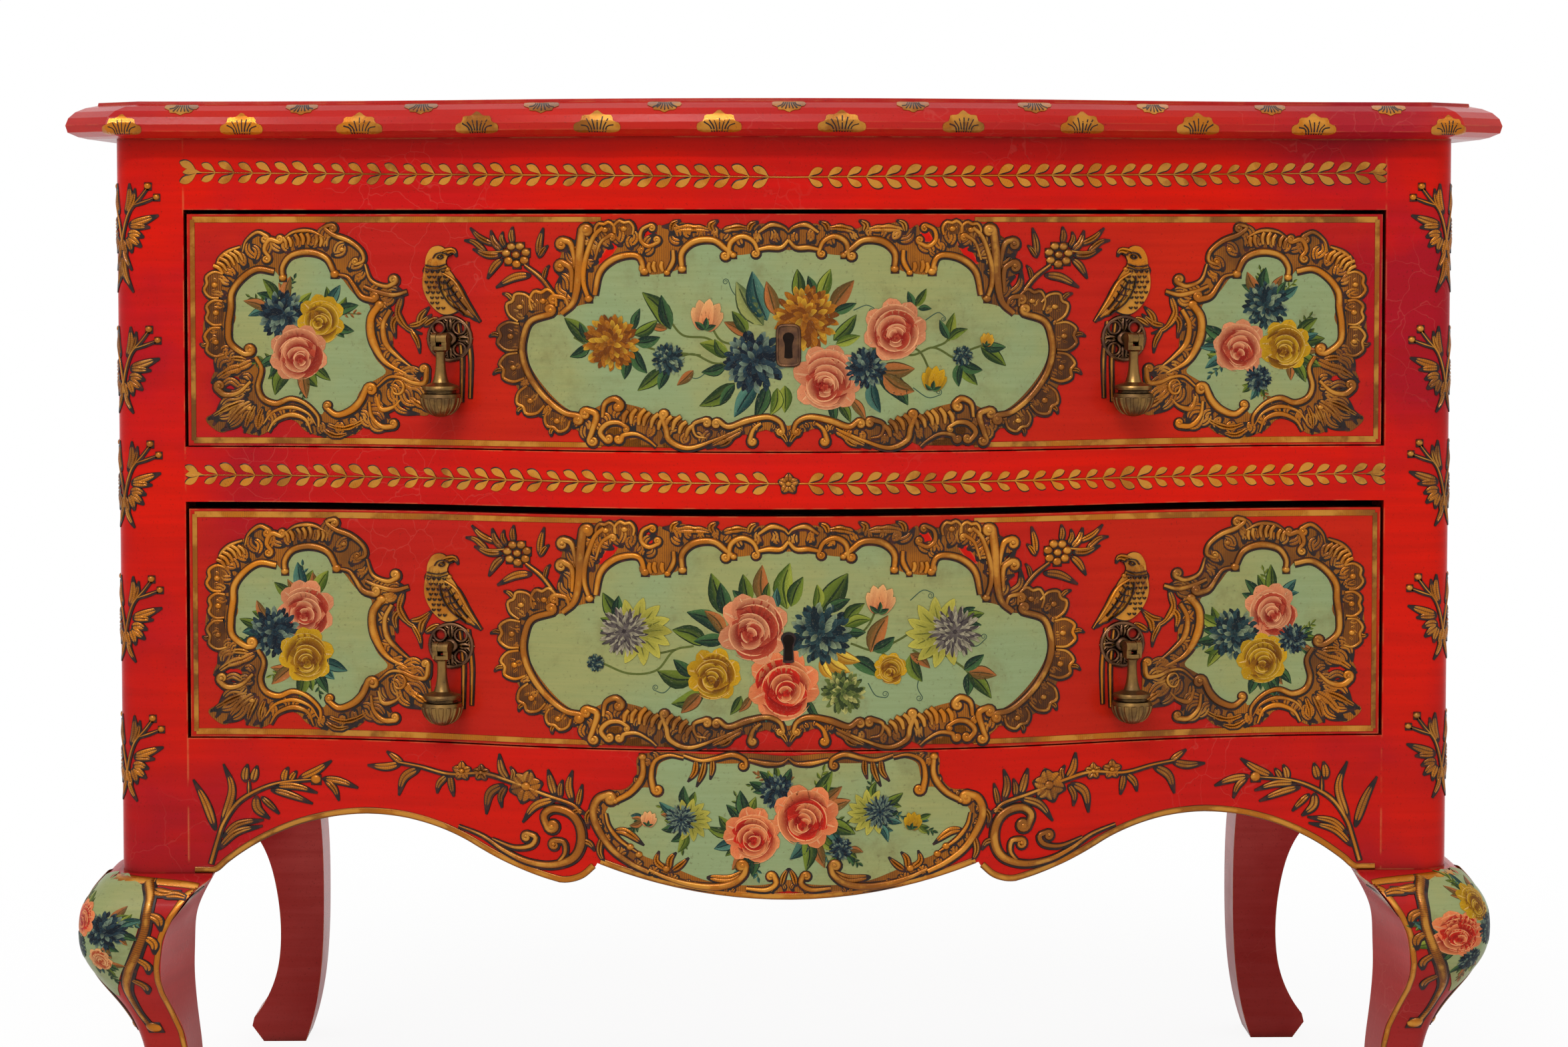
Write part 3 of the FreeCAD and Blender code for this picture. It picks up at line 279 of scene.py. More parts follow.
def lacquer_material(name, red, bare_back=False, gloss=0.05):
    """Red lacquer: clouded, streaked, crazed and worn at the edges, with painted shade lower down and
    painted shade with some soiling in corners; a drawer front's back is bare wood.
    """
    made, tree, place = new_material(name)
    aged = use(tree, AGED, Cloud_Scale=5.0, Streak_Scale=5.0, Speck_Scale=700.0, Crack_Scale=34.0)
    parts = axes(tree, place)
    ends = spread(tree, calc(tree, "ABSOLUTE", parts[0]), 0.36, 0.50, 0.0, 0.85)
    crimson = calc(tree, "MULTIPLY", aged["Clouds"], calc(tree, "ADD", ends, 0.42))
    facing = axes(tree, add(tree, "ShaderNodeNewGeometry").outputs["Normal"])
    calm = spread(tree, calc(tree, "ABSOLUTE", facing[0]), 0.8, 0.98, 1.0, 0.4)
    crimson = calc(tree, "MULTIPLY", crimson, calm)
    colour = blend(tree, crimson, red, CRIMSON)
    # Painted shade: the red darkened lower down the front, from the upper drawer towards the legs
    colour = blend(tree, spread(tree, parts[2], 0.72, 0.3, 0.0, 0.3), colour, linear(150, 26, 16))
    low = spread(tree, parts[2], 0.05, 0.27, 0.7, 0.0)
    colour = blend(tree, low, colour, LEG_RED)
    colour = tint(tree, colour, aged["Streaks"], 0.34, linear(136, 18, 8))
    colour = tint(tree, colour, aged["Specks"], 0.5, SOIL_AND_SHADE_BROWN)
    colour = tint(tree, colour, aged["Cracks"], 0.1, linear(206, 120, 104))
    # Painted shade with some soiling: the red turned brown in corners and recesses
    shade_and_soil = use(tree, SHADE_AND_SOIL, Reach=0.012)["Shade and Soil"]
    colour = tint(tree, colour, shade_and_soil, 0.7, SOIL_AND_SHADE_BROWN)
    wear = use(tree, WORN, Radius=0.0022, Break_Scale=45.0)["Wear"]
    colour = tint(tree, colour, wear, 0.55, WORN_TAN)
    relief = calc(tree, "ADD", noise(tree, place, 260.0, 3.0), calc(tree, "MULTIPLY", aged["Cracks"], -0.3))
    rough = spread(tree, aged["Clouds"], 0.0, 1.0, 0.24, 0.36)
    normal = bump(tree, relief, 0.25, 0.0004)
    if bare_back:
        wood, _ = wood_colour(tree, place)
        behind = spread(tree, facing[1], 0.1, 0.2)
        colour = blend(tree, behind, colour, wood)
        rough = calc(tree, "MAXIMUM", rough, calc(tree, "MULTIPLY", behind, 0.7))
    surface(tree, Base_Color=colour, Roughness=rough, Specular_IOR_Level=gloss, Normal=normal,
            Coat_Weight=0.03, Coat_Roughness=0.14)
    return made


def gilding_material():
    """Raised gilding: painted highlight with some wear on its crests, painted shade and dark glaze down its
    flanks, painted shade with some soiling in its recesses, and fine dark hatching.
    """
    made, tree, place = new_material("gilding")
    paint = attribute(tree, "paint", "Color")
    crest, hatch, tone = add(tree, "ShaderNodeSeparateColor", {0: paint}).outputs
    along = axes(tree, attribute(tree, "drawn", "Vector"))[0]
    aged = use(tree, AGED, Cloud_Scale=38.0, Streak_Scale=60.0, Speck_Scale=900.0, Crack_Scale=60.0)
    gold = blend(tree, tone, linear(128, 68, 8), linear(190, 112, 14))
    gold = tint(tree, gold, aged["Clouds"], 0.5, linear(90, 48, 14))
    patina = spread(tree, noise(tree, place, 11.0, 2.0), 0.44, 0.66)
    gold = tint(tree, gold, patina, 0.62, linear(70, 42, 20))
    uneven = calc(tree, "MULTIPLY", calc(tree, "SUBTRACT", aged["Clouds"], 0.5), 0.35)
    height = calc(tree, "ADD", crest, uneven)
    # Painted shade and dark glaze: brown down the flanks of each stroke, gold towards its crest
    colour = blend(tree, spread(tree, height, 0.1, 0.75), linear(46, 24, 12), gold)
    wobble = calc(tree, "MULTIPLY", noise(tree, place, 120.0, 2.0), 2.4)
    wave = calc(tree, "SINE", calc(tree, "ADD", calc(tree, "MULTIPLY", along, 3.6), wobble))
    lines = calc(tree, "MULTIPLY", spread(tree, wave, 0.45, 0.85), hatch)
    colour = tint(tree, colour, lines, 0.8, linear(52, 26, 14))
    colour = tint(tree, colour, aged["Specks"], 0.6, linear(48, 24, 14))
    # Painted shade with some soiling: brown in corners and recesses
    shade_and_soil = use(tree, SHADE_AND_SOIL, Reach=0.004)["Shade and Soil"]
    colour = tint(tree, colour, shade_and_soil, 0.75, linear(44, 20, 10))
    # Painted highlight with some wear: pale gold on the crests
    highlit_and_worn = spread(tree, height, 0.82, 1.12)
    colour = tint(tree, colour, highlit_and_worn, 0.42, linear(226, 160, 60))
    rough = spread(tree, aged["Clouds"], 0.0, 1.0, 0.2, 0.36)
    normal = bump(tree, noise(tree, place, 700.0, 2.0), 0.2, 0.0004)
    surface(tree, Base_Color=colour, Roughness=rough, Metallic=0.45, Specular_IOR_Level=0.12, Normal=normal,
            Coat_Weight=0.15, Coat_Roughness=0.1)
    return made


def shade_material():
    """The dark brown brush line beside the gilding."""
    made, tree, place = new_material("shade_line")
    thin = noise(tree, place, 160.0, 3.0)
    colour = blend(tree, spread(tree, thin, 0.45, 0.75), linear(24, 12, 8), linear(64, 20, 12))
    surface(tree, Base_Color=colour, Roughness=spread(tree, thin, 0.3, 0.7, 0.35, 0.5),
            Specular_IOR_Level=0.25)
    return made


def ground_material():
    """The sage-green painted ground, yellowed in clouds and lightly grained."""
    made, tree, place = new_material("sage_ground")
    aged = use(tree, AGED, Cloud_Scale=9.0, Streak_Scale=16.0, Speck_Scale=380.0, Crack_Scale=40.0)
    colour = blend(tree, aged["Clouds"], linear(126, 140, 97), linear(138, 137, 82))
    colour = tint(tree, colour, aged["Streaks"], 0.32, linear(106, 120, 72))
    colour = tint(tree, colour, aged["Specks"], 0.55, linear(88, 84, 50))
    colour = tint(tree, colour, aged["Cracks"], 0.14, linear(96, 96, 62))
    stains = spread(tree, noise(tree, place, 17.0, 6.0, 0.7), 0.5, 0.72, 0.0, 0.6)
    colour = blend(tree, stains, colour, linear(104, 98, 54))
    # Painted shade with some soiling: the green darkened in corners and recesses
    shade_and_soil = use(tree, SHADE_AND_SOIL, Reach=0.006)["Shade and Soil"]
    colour = tint(tree, colour, shade_and_soil, 0.75, linear(74, 62, 30))
    weave = noise(tree, stretched(tree, place, (1.0, 1.0, 5.0)), 320.0, 2.0)
    surface(tree, Base_Color=colour, Roughness=spread(tree, aged["Clouds"], 0.0, 1.0, 0.34, 0.46),
            Specular_IOR_Level=0.25, Normal=bump(tree, weave, 0.22, 0.0003))
    return made


def flower_material():
    """Painted petals and leaves, with the brush's streaks along each stroke."""
    made, tree, place = new_material("flower_paint")
    paint = attribute(tree, "paint", "Color")
    drawn = attribute(tree, "drawn", "Vector")
    hairs = noise(tree, stretched(tree, drawn, (0.12, 1.0, 1.0)), 3.2, 4.0, 0.6)
    colour = blend(tree, spread(tree, hairs, 0.5, 0.8, 0.0, 0.55), paint, linear(40, 30, 16))
    pale = blend(tree, 1.0, paint, linear(255, 236, 190), "SCREEN")
    colour = blend(tree, spread(tree, hairs, 0.42, 0.18, 0.0, 0.3), colour, pale)
    specks = noise(tree, place, 420.0, 2.0)
    colour = blend(tree, spread(tree, specks, 0.62, 0.8, 0.0, 0.5), colour, linear(60, 52, 30))
    surface(tree, Base_Color=colour, Roughness=spread(tree, hairs, 0.2, 0.8, 0.34, 0.48),
            Specular_IOR_Level=0.1, Normal=bump(tree, hairs, 0.2, 0.0003))
    return made


def brass_material(name, bright, dull):
    """Patinated brass, worn bright where it is handled, darker in corners and recesses by painted shade
    with some soiling.
    """
    made, tree, place = new_material(name)
    aged = use(tree, AGED, Cloud_Scale=70.0, Streak_Scale=40.0, Speck_Scale=800.0, Crack_Scale=60.0)
    colour = blend(tree, aged["Clouds"], bright, dull)
    colour = tint(tree, colour, aged["Specks"], 0.5, linear(40, 28, 20))
    # Painted shade with some soiling: the brass darkened in corners and recesses
    shade_and_soil = use(tree, SHADE_AND_SOIL, Reach=0.006)["Shade and Soil"]
    colour = tint(tree, colour, shade_and_soil, 1.5, linear(30, 20, 13))
    wear = use(tree, WORN, Radius=0.0008, Break_Scale=160.0)["Wear"]
    colour = tint(tree, colour, wear, 0.6, linear(196, 154, 92))
    rough = spread(tree, aged["Clouds"], 0.0, 1.0, 0.28, 0.46)
    surface(tree, Base_Color=colour, Metallic=0.9, Roughness=rough,
            Normal=bump(tree, noise(tree, place, 500.0, 2.0), 0.15, 0.0004))
    return made


def iron_material():
    """Dull iron with rust."""
    made, tree, place = new_material("lock_iron")
    aged = use(tree, AGED, Cloud_Scale=50.0, Streak_Scale=40.0, Speck_Scale=500.0, Crack_Scale=60.0)
    colour = blend(tree, aged["Clouds"], linear(92, 84, 78), linear(104, 66, 46))
    colour = blend(tree, aged["Specks"], colour, linear(70, 40, 26))
    rough = spread(tree, aged["Clouds"], 0.0, 1.0, 0.4, 0.65)
    surface(tree, Base_Color=colour, Metallic=0.7, Roughness=rough,
            Normal=bump(tree, noise(tree, place, 300.0, 3.0), 0.3, 0.0005))
    return made


def hole_material():
    """The dark inside a keyhole, painted as shade on a flat patch."""
    made, tree, place = new_material("keyhole_dark")
    colour = blend(tree, noise(tree, place, 90.0), linear(12, 9, 8), linear(34, 24, 18))
    surface(tree, Base_Color=colour, Roughness=0.8, Specular_IOR_Level=0.05)
    return made


def wood_material(name, along):
    """Old unpainted softwood, darker in its corners by painted shade with some soiling."""
    made, tree, place = new_material(name)
    colour, grain = wood_colour(tree, place, along)
    # Painted shade with some soiling: the wood darkened in corners
    shade_and_soil = use(tree, SHADE_AND_SOIL, Reach=0.03)["Shade and Soil"]
    colour = tint(tree, colour, shade_and_soil, 0.5, linear(66, 42, 26))
    surface(tree, Base_Color=colour, Roughness=spread(tree, grain, 0.3, 0.7, 0.62, 0.78),
            Normal=bump(tree, grain, 0.3, 0.0006))
    return made


LACQUER = lacquer_material("red_lacquer_case", BRIGHT_RED)
TOP_LACQUER = lacquer_material("red_lacquer_top", TOP_RED, gloss=0.12)
# The rear legs' lacquer, made paler as painted light against the shade under the case
REAR_LACQUER_LIT = lacquer_material("red_lacquer_rear_legs", REAR_DUSTY_LIT_RED)
FRONT_LACQUER = lacquer_material("red_lacquer_drawer_front", DRAWER_RED, bare_back=True)
GILDING = gilding_material()
SHADE = shade_material()
GROUND = ground_material()
FLOWERS = flower_material()
BRASS = brass_material("old_brass", linear(130, 98, 52), linear(92, 68, 40))
DARK_BRASS = brass_material("dark_brass", linear(112, 78, 52), linear(76, 52, 40))
IRON = iron_material()
WOOD = wood_material("bare_softwood", 0)
DEEP_WOOD = wood_material("bare_softwood_deep", 1)
DEEP_GRAIN = ("side", "runners", "guides", "kickers")
HOLE = hole_material()
FINISHES = {"gilding": GILDING, "shade": SHADE, "ground": GROUND, "flowers": FLOWERS, "opening": LACQUER,
            "brass": DARK_BRASS, "bright_brass": BRASS, "hole": HOLE}
CAD_FINISHES = {"red_lacquer": LACQUER, "bare_wood": WOOD, "brass": BRASS, "iron": IRON}


def dress_cad_nodes():
    """Every carried-over piece gets its finish by the record's slot."""
    for name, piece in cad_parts.items():
        slot = piece.data.materials[0].name.split(".")[0]
        finish = CAD_FINISHES[slot]
        if name.endswith("drawer_front"):
            finish = FRONT_LACQUER
        elif name == "top_board":
            finish = TOP_LACQUER
        elif name in ("rear_left_leg", "rear_right_leg"):
            finish = REAR_LACQUER_LIT
        elif finish is WOOD and name.endswith(DEEP_GRAIN):
            finish = DEEP_WOOD
        piece.material_slots[0].link = "OBJECT"
        piece.material_slots[0].material = finish


# Surfaces that flat ornament is laid on: across, up and out in millimetres become points in metres

def serpentine(across):
    """How far back the front lies at each distance across, and its lean from straight ahead, in metres."""
    reach = np.abs(across)
    lean_swell = np.arcsin(np.clip(reach, 0, HALF_OPENING / 2) / SWEEP_RADIUS)
    lean_hollow = np.arcsin(np.clip(HALF_OPENING - reach, 0, HALF_OPENING / 2) / SWEEP_RADIUS)
    swelling = reach <= HALF_OPENING / 2
    back = np.where(swelling, APEX_FRONT + SWEEP_RADIUS * (1 - np.cos(lean_swell)),
                    POST_FRONT - SWEEP_RADIUS * (1 - np.cos(lean_hollow)))
    lean = np.sign(across) * np.where(swelling, lean_swell, lean_hollow)
    return back, lean


def node_tree(node):
    """A search tree over a carried-over piece's faces."""
    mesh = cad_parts[node].data
    return BVHTree.FromPolygons([v.co for v in mesh.vertices], [p.vertices for p in mesh.polygons])


def on_front(flat, set_back=0.0):
    """A lay on the serpentine front."""
    across, up, out = flat.T * MM
    back, lean = serpentine(across)
    out = out - set_back
    return np.column_stack([across + out * np.sin(lean), back - out * np.cos(lean), up])


def on_drawer(flat):
    """A lay on a drawer's front."""
    return on_front(flat, DRAWER_SET_BACK)


# Lines drawn flat

SPAN_POINTS = 14
CURL_POINTS = 15


def ray(turn):
    """A step of one in a direction given in radians."""
    return np.array([math.cos(turn), math.sin(turn)])


def leftwards(ahead):
    """A direction turned a quarter to its left."""
    return np.array([-ahead[1], ahead[0]])


def standing(x, z, angle):
    """A foot, the way ahead at an angle in degrees, and the way to its left."""
    ahead = ray(math.radians(angle))
    return np.array([x, z]), ahead, leftwards(ahead)


def lengths_along(line):
    """How far along a line each of its points lies."""
    steps = np.linalg.norm(np.diff(line, axis=0), axis=1)
    return np.concatenate([[0], np.cumsum(steps)])


def even(line, step):
    """The same line as evenly spaced points."""
    lengths = lengths_along(line)
    count = max(5, int(lengths[-1] / step) + 2)
    at = np.linspace(0, lengths[-1], count)
    return np.column_stack([np.interp(at, lengths, line[:, k]) for k in (0, 1)])


def smooth(points, step=2.1, closed=False):
    """A smooth curve through the points."""
    p = np.array(points, float)
    if closed:
        p = np.vstack([p[-1:], p, p[:2]])
    else:
        p = np.vstack([2 * p[0] - p[1], p, 2 * p[-1] - p[-2]])
    t = np.linspace(0, 1, SPAN_POINTS, endpoint=False)[:, None]
    runs = []
    for a, b, c, d in zip(p[:-3], p[1:-2], p[2:-1], p[3:]):
        runs.append(b + 0.5 * ((c - a) * t + (2 * a - 5 * b + 4 * c - d) * t ** 2
                               + (3 * b - a - 3 * c + d) * t ** 3))
    return even(np.vstack(runs + [p[-2:-1]]), step)


def curled(line, radius, turns=1.15):
    """The line with a volute at its end; a positive radius curls to the left."""
    heading = math.atan2(*(line[-1] - line[-2])[::-1])
    turn = math.copysign(math.tau * turns / CURL_POINTS, radius)
    point = line[-1]
    added = []
    for k in range(CURL_POINTS):
        heading += turn
        reach = abs(radius * turn) * (1 - 0.75 * k / CURL_POINTS)
        point = point + reach * ray(heading)
        added.append(point)
    return np.vstack([line, added])


def sweep(line, half, profile, height, base):
    """The top of a stroke: its profile carried along a line."""
    ahead = np.gradient(line, axis=0)
    ahead /= np.maximum(np.linalg.norm(ahead, axis=1), 1e-9)[:, None]
    sideways = np.column_stack([-ahead[:, 1], ahead[:, 0]])
    offset, rise = profile.T
    plan = line[:, None, :] + sideways[:, None, :] * (half[:, None] * offset)[..., None]
    out = base + height[:, None] * rise
    return np.concatenate([plan, out[..., None]], axis=2)


ROUND = np.array([(-1, 0), (-0.84, 0.55), (-0.45, 0.92), (0, 1), (0.45, 0.92), (0.84, 0.55), (1, 0)])
VEINED = np.array([(-1, 0), (-0.75, 0.75), (-0.3, 0.9), (0, 0.45), (0.3, 0.9), (0.75, 0.75), (1, 0)])
FLAT = np.array([(-1, 0), (-0.9, 1), (0.9, 1), (1, 0)])
# A flat profile whose crest values above one give the gilding a painted highlight
FLAT_HIGHLIT = np.array([(-1, 0.8), (-0.9, 1.05), (0.9, 1.05), (1, 0.8)])
DOME_ROWS = 7
STROKE_ROWS = 9
PETAL = np.array([(-1, 0), (-0.6, 0.8), (0, 1), (0.6, 0.8), (1, 0)])


# Paint colours: dark, middle and light of each flower, and the heart and edge of each leaf

FLOWER_TONES = {
    "pink": (linear(122, 22, 12), linear(158, 62, 38), linear(190, 122, 82)),
    "red": (linear(128, 10, 4), linear(178, 32, 14), linear(200, 118, 70)),
    "yellow": (linear(92, 48, 2), linear(138, 92, 4), linear(172, 130, 14)),
    "orange": (linear(100, 50, 6), linear(148, 88, 12), linear(182, 136, 34)),
    "blue": (linear(12, 26, 32), linear(36, 60, 62), linear(120, 132, 100)),
    "ink": (linear(10, 20, 30), linear(30, 50, 58), linear(104, 120, 100)),
    "cream": (linear(44, 36, 38), linear(92, 82, 76), linear(152, 142, 116)),
    "moss": (linear(40, 52, 24), linear(92, 102, 46), linear(170, 164, 92)),
    "peach": (linear(140, 44, 18), linear(172, 82, 42), linear(200, 146, 92)),
}
LEAF_TONES = {
    "green": (linear(30, 48, 22), linear(92, 106, 32)),
    "dark": (linear(18, 38, 28), linear(52, 82, 44)),
    "blue": (linear(18, 48, 46), linear(64, 100, 84)),
    "rust": (linear(88, 64, 26), linear(150, 86, 40)),
    "lime": (linear(58, 76, 20), linear(122, 128, 44)),
    "olive": (linear(66, 78, 42), linear(120, 122, 66)),
    "gold": (linear(150, 100, 20), linear(206, 170, 60)),
}
LEAF_KINDS = ("green", "green", "dark", "dark", "blue", "rust", "lime")
PETAL_EDGE = linear(212, 176, 128)
SPRAY_LEAVES = 6
DAISY_PETAL = (linear(88, 88, 28), linear(158, 148, 58))
FLOWER_FULLNESS = 1.18
SHARP_ANGLE = math.radians(50)


def put(name, data):
    """A new object in the scene."""
    made = bpy.data.objects.new(name, data)
    bpy.context.scene.collection.objects.link(made)
    return made


class Shells:
    """Closed shells of one finish, with a paint colour and a drawn place at each point."""

    def __init__(self):
        self.points = []
        self.paint = []
        self.drawn = []
        self.faces = []
        self.count = 0

    def take(self, points, paint, drawn, faces):
        """One more shell."""
        self.points.append(points)
        self.paint.append(paint)
        self.drawn.append(drawn)
        self.faces += [tuple(self.count + k for k in face) for face in faces]
        self.count += len(points)

    def build(self, name, lay, material):
        """One mesh object, laid on its surface."""
        mesh = bpy.data.meshes.new(name)
        mesh.from_pydata(lay(np.vstack(self.points)).tolist(), [], self.faces)
        whole = bmesh.new()
        whole.from_mesh(mesh)
        bmesh.ops.recalc_face_normals(whole, faces=whole.faces[:])
        whole.to_mesh(mesh)
        whole.free()
        mesh.polygons.foreach_set("use_smooth", [True] * len(mesh.polygons))
        mesh.set_sharp_from_angle(angle=SHARP_ANGLE)
        paint = mesh.attributes.new("paint", "FLOAT_COLOR", "POINT")
        paint.data.foreach_set("color", np.vstack(self.paint).astype(np.float32).ravel())
        drawn = mesh.attributes.new("drawn", "FLOAT_VECTOR", "POINT")
        drawn.data.foreach_set("vector", np.vstack(self.drawn).astype(np.float32).ravel())
        mesh.materials.append(material)
        return put(name, mesh)


class Ornament:
    """Flat ornament of one place on the chest, drawn in millimetres from a movable origin."""

    def __init__(self, lay):
        self.lay = lay
        self.shells = {finish: Shells() for finish in FINISHES}
        self.paint_layer = 0
        self.metal = "gilding"
        self.boldness = 1.0
        self.place(0, 0)

    def place(self, across, up, mirror=1):
        """The origin moved, and mirrored if asked."""
        self.origin = np.array([across, up])
        self.mirror = mirror
        return self

    def moved(self, points):
        """Points carried to the origin, and mirrored where it is."""
        points[:, 0] = self.origin[0] + self.mirror * points[:, 0]
        points[:, 1] += self.origin[1]
        return points

    def ribbon(self, finish, top, paint, drawn):
        """A closed shell under a grid of top points, with its two sides carried down into the surface."""
        rows, columns = top.shape[:2]
        foot = top[:, [0, -1]].copy()
        foot[..., 2] = SUNK
        ring = np.concatenate([foot[:, :1], top, foot[:, 1:]], axis=1)
        paint = np.concatenate([paint[:, :1], paint, paint[:, -1:]], axis=1).reshape(-1, 4)
        drawn = np.concatenate([drawn[:, :1], drawn, drawn[:, -1:]], axis=1).reshape(-1, 3)
        width = columns + 2
        faces = []
        for row in range(rows - 1):
            for k in range(width):
                a, b = row * width + k, row * width + (k + 1) % width
                faces.append((a, b, b + width, a + width))
        faces.append(tuple(range(width)))
        faces.append(tuple(range((rows - 1) * width, rows * width)))
        self.shells[finish].take(self.moved(ring.reshape(-1, 3)), paint, drawn, faces)

    def gild(self, top, line, profile, hatch, tone, crest=1.0):
        """A gilt or brass stroke."""
        rows, columns = top.shape[:2]
        paint = np.empty((rows, columns, 4))
        # The crest channel sets the gilding's painted shade down a stroke's flanks and its painted
        # highlight on top
        paint[..., 0] = profile[:, 1] * crest
        paint[..., 1] = hatch
        paint[..., 2] = tone
        paint[..., 3] = 1
        drawn = np.zeros((rows, columns, 3))
        drawn[..., 0] = lengths_along(line)[:, None]
        drawn[..., 1] = profile[:, 0]
        drawn[..., 2] = draw.uniform(0, 50)
        self.ribbon(self.metal, top, paint, drawn)

    def shade_under(self, line, half, margin=1.2, height=SHADE_HEIGHT):
        """A dark brush line that shows beside and below a gilded stroke."""
        shifted = line + np.array([0.3 * self.mirror, -0.5])
        top = sweep(shifted, half + margin, FLAT, np.full(len(line), height), 0.0)
        rows, columns = top.shape[:2]
        self.ribbon("shade", top, np.ones((rows, columns, 4)), np.zeros((rows, columns, 3)))

    def stroke(self, points, margin, height, step=0.7, half=0.05):
        """A thin dark brush stroke over the gilding."""
        line = smooth(points, step)
        self.shade_under(line, np.full(len(line), half), margin, height)

    def scroll(self, points, width, height=2.6, ends=(0.55, 0.35), curls=(0, 0), hatch=0.0, tone=None,
               shade=True, profile=ROUND, crest=1.0):
        """A rounded moulding along a curve, thinner at its ends, which may curl into volutes."""
        line = smooth(points)
        width = width * self.boldness
        if curls[0]:
            line = curled(line[::-1], curls[0])[::-1]
        if curls[1]:
            line = curled(line, curls[1])
        share = np.linspace(0, 1, len(line))
        half = width / 2 * np.interp(share, (0, 0.45, 1), (ends[0], 1, ends[1]))
        rise = height * (2 * half / width) ** 0.7
        tone = draw.uniform(0.2, 1) if tone is None else tone
        self.gild(sweep(line, half, profile, rise, 0.0), line, profile, hatch, tone, crest)
        if shade:
            self.shade_under(line, half)
        for curl, end in zip(curls, (line[0], line[-1])):
            if curl:
                self.bead(end[0], end[1], width * 0.42, height * 1.15)

    def leaf(self, points, width, height=1.7, lobes=0, hatch=0.45, tone=None, shade=True):
        """A veined leaf along a curve from its foot to its tip."""
        line = smooth(points, 1.9)
        share = np.linspace(0, 1, len(line))
        half = width / 2 * np.maximum(np.sin(np.pi * share ** 0.72) ** 0.8, 0.07)
        if lobes:
            half = half * (0.72 + 0.28 * np.abs(np.sin(np.pi * lobes * share)))
        rise = height * np.maximum(np.sin(np.pi * share ** 0.8), 0.25)
        tone = draw.uniform(0.3, 1) if tone is None else tone
        self.gild(sweep(line, half, VEINED, rise, 0.0), line, VEINED, hatch, tone)
        if shade:
            self.shade_under(line, half, 0.7)

    def gold_leaf(self, points, width):
        """A flat leaf of painted gold, broad towards its tip, with a dark stroke beside it."""
        line = smooth(points, 1.2)
        share = np.linspace(0, 1, len(line))
        half = width / 2 * np.maximum(np.sin(np.pi * share ** 1.5) ** 0.7, 0.1)
        self.gild(sweep(line, half, FLAT, np.full(len(line), 0.5), 0.0), line, FLAT_HIGHLIT, 0.15,
                  draw.uniform(0.7, 1))
        self.shade_under(line, half * 0.9, 0.5, 0.3)

    def disc_rows(self, x, z, radius, rise):
        """The top of a dome, cut into rows."""
        along = np.sin(np.linspace(-1.45, 1.45, DOME_ROWS))
        line = np.column_stack([x + radius * along, np.full(DOME_ROWS, z)])
        half = radius * np.sqrt(1 - along ** 2)
        offset = np.sin(np.linspace(-1.5, 1.5, DOME_ROWS))
        profile = np.column_stack([offset, np.sqrt(1 - offset ** 2)])
        return sweep(line, half, profile, rise * np.sqrt(1 - along ** 2), 0.0), line, profile

    def bead(self, x, z, radius, height=2.4, shade=False):
        """A raised round bead."""
        top, line, profile = self.disc_rows(x, z, radius, height)
        self.gild(top, line, profile, 0.0, draw.uniform(0.5, 1))
        if shade:
            self.shade_under(line, np.full(len(line), radius * 0.9), 0.6)

    def fill(self, finish, outline, height, paint=(0.4, 0.35, 0.5, 1), cell=(9.0, 0)):
        """A flat patch in a closed outline, cut into columns, and rows if asked, to follow the surface."""
        flat = bmesh.new()
        corners = [flat.verts.new((x, z, 0)) for x, z in smooth(outline, 2.4, closed=True)[:-1]]
        flat.faces.new(corners)
        bmesh.ops.triangulate(flat, faces=flat.faces[:])
        for axis, size in zip(((1, 0, 0), (0, 1, 0)), cell):
            marks = [v.co.dot(axis) for v in flat.verts]
            for place in np.arange(min(marks) + size, max(marks), size) if size else ():
                parts = flat.verts[:] + flat.edges[:] + flat.faces[:]
                bmesh.ops.bisect_plane(flat, geom=parts, plane_co=Vector(axis) * place, plane_no=axis)
        flat.verts.index_update()
        count = len(flat.verts)
        top = np.array([(v.co.x, v.co.y, height) for v in flat.verts])
        foot = top.copy()
        foot[:, 2] = SUNK
        faces = []
        for face in flat.faces:
            ring = [v.index for v in face.verts]
            faces.append(tuple(ring))
            faces.append(tuple(count + k for k in reversed(ring)))
        for edge in flat.edges:
            if edge.is_boundary:
                a, b = edge.verts[0].index, edge.verts[1].index
                faces.append((a, b, count + b, count + a))
        flat.free()
        points = self.moved(np.vstack([top, foot]))
        drawn = np.column_stack([points[:, :2], np.zeros(len(points))])
        self.shells[finish].take(points, np.tile(paint, (len(points), 1)), drawn, faces)

    def lobe(self, x, z, angle, width, depth, tip=0.0):
        """A shell lobe that points at an angle: a hollow hatched dish, a raised rim and a bead."""
        out = ray(math.radians(angle))
        along = -leftwards(out)

        def at(across, outward):
            return np.array([x, z]) + along * across * width / 2 + out * outward * depth

        rim = [at(-1, 0), at(-1.05, 0.55), at(-0.55, 0.98), at(0, 0.86), at(0.55, 0.98), at(1.05, 0.55),
               at(1, 0)]
        self.fill("gilding", rim, 1.0, (0.42, 1.0, 0.5, 1))
        self.scroll(rim, 3.0, 2.4, ends=(0.7, 0.7))
        self.bead(*at(0, 0.4), 2.9, 2.8)
        for side in (-1, 1):
            self.leaf([at(0.25 * side, 0.2), at(0.5 * side, 0.5), at(0.55 * side, 0.75)], 2.4, 1.5,
                      shade=False)
        if tip:
            self.leaf([at(0, 0.85), at(0.12, 0.95 + tip / depth / 2), at(-0.1, 1 + tip / depth)], 4.0, 1.6)

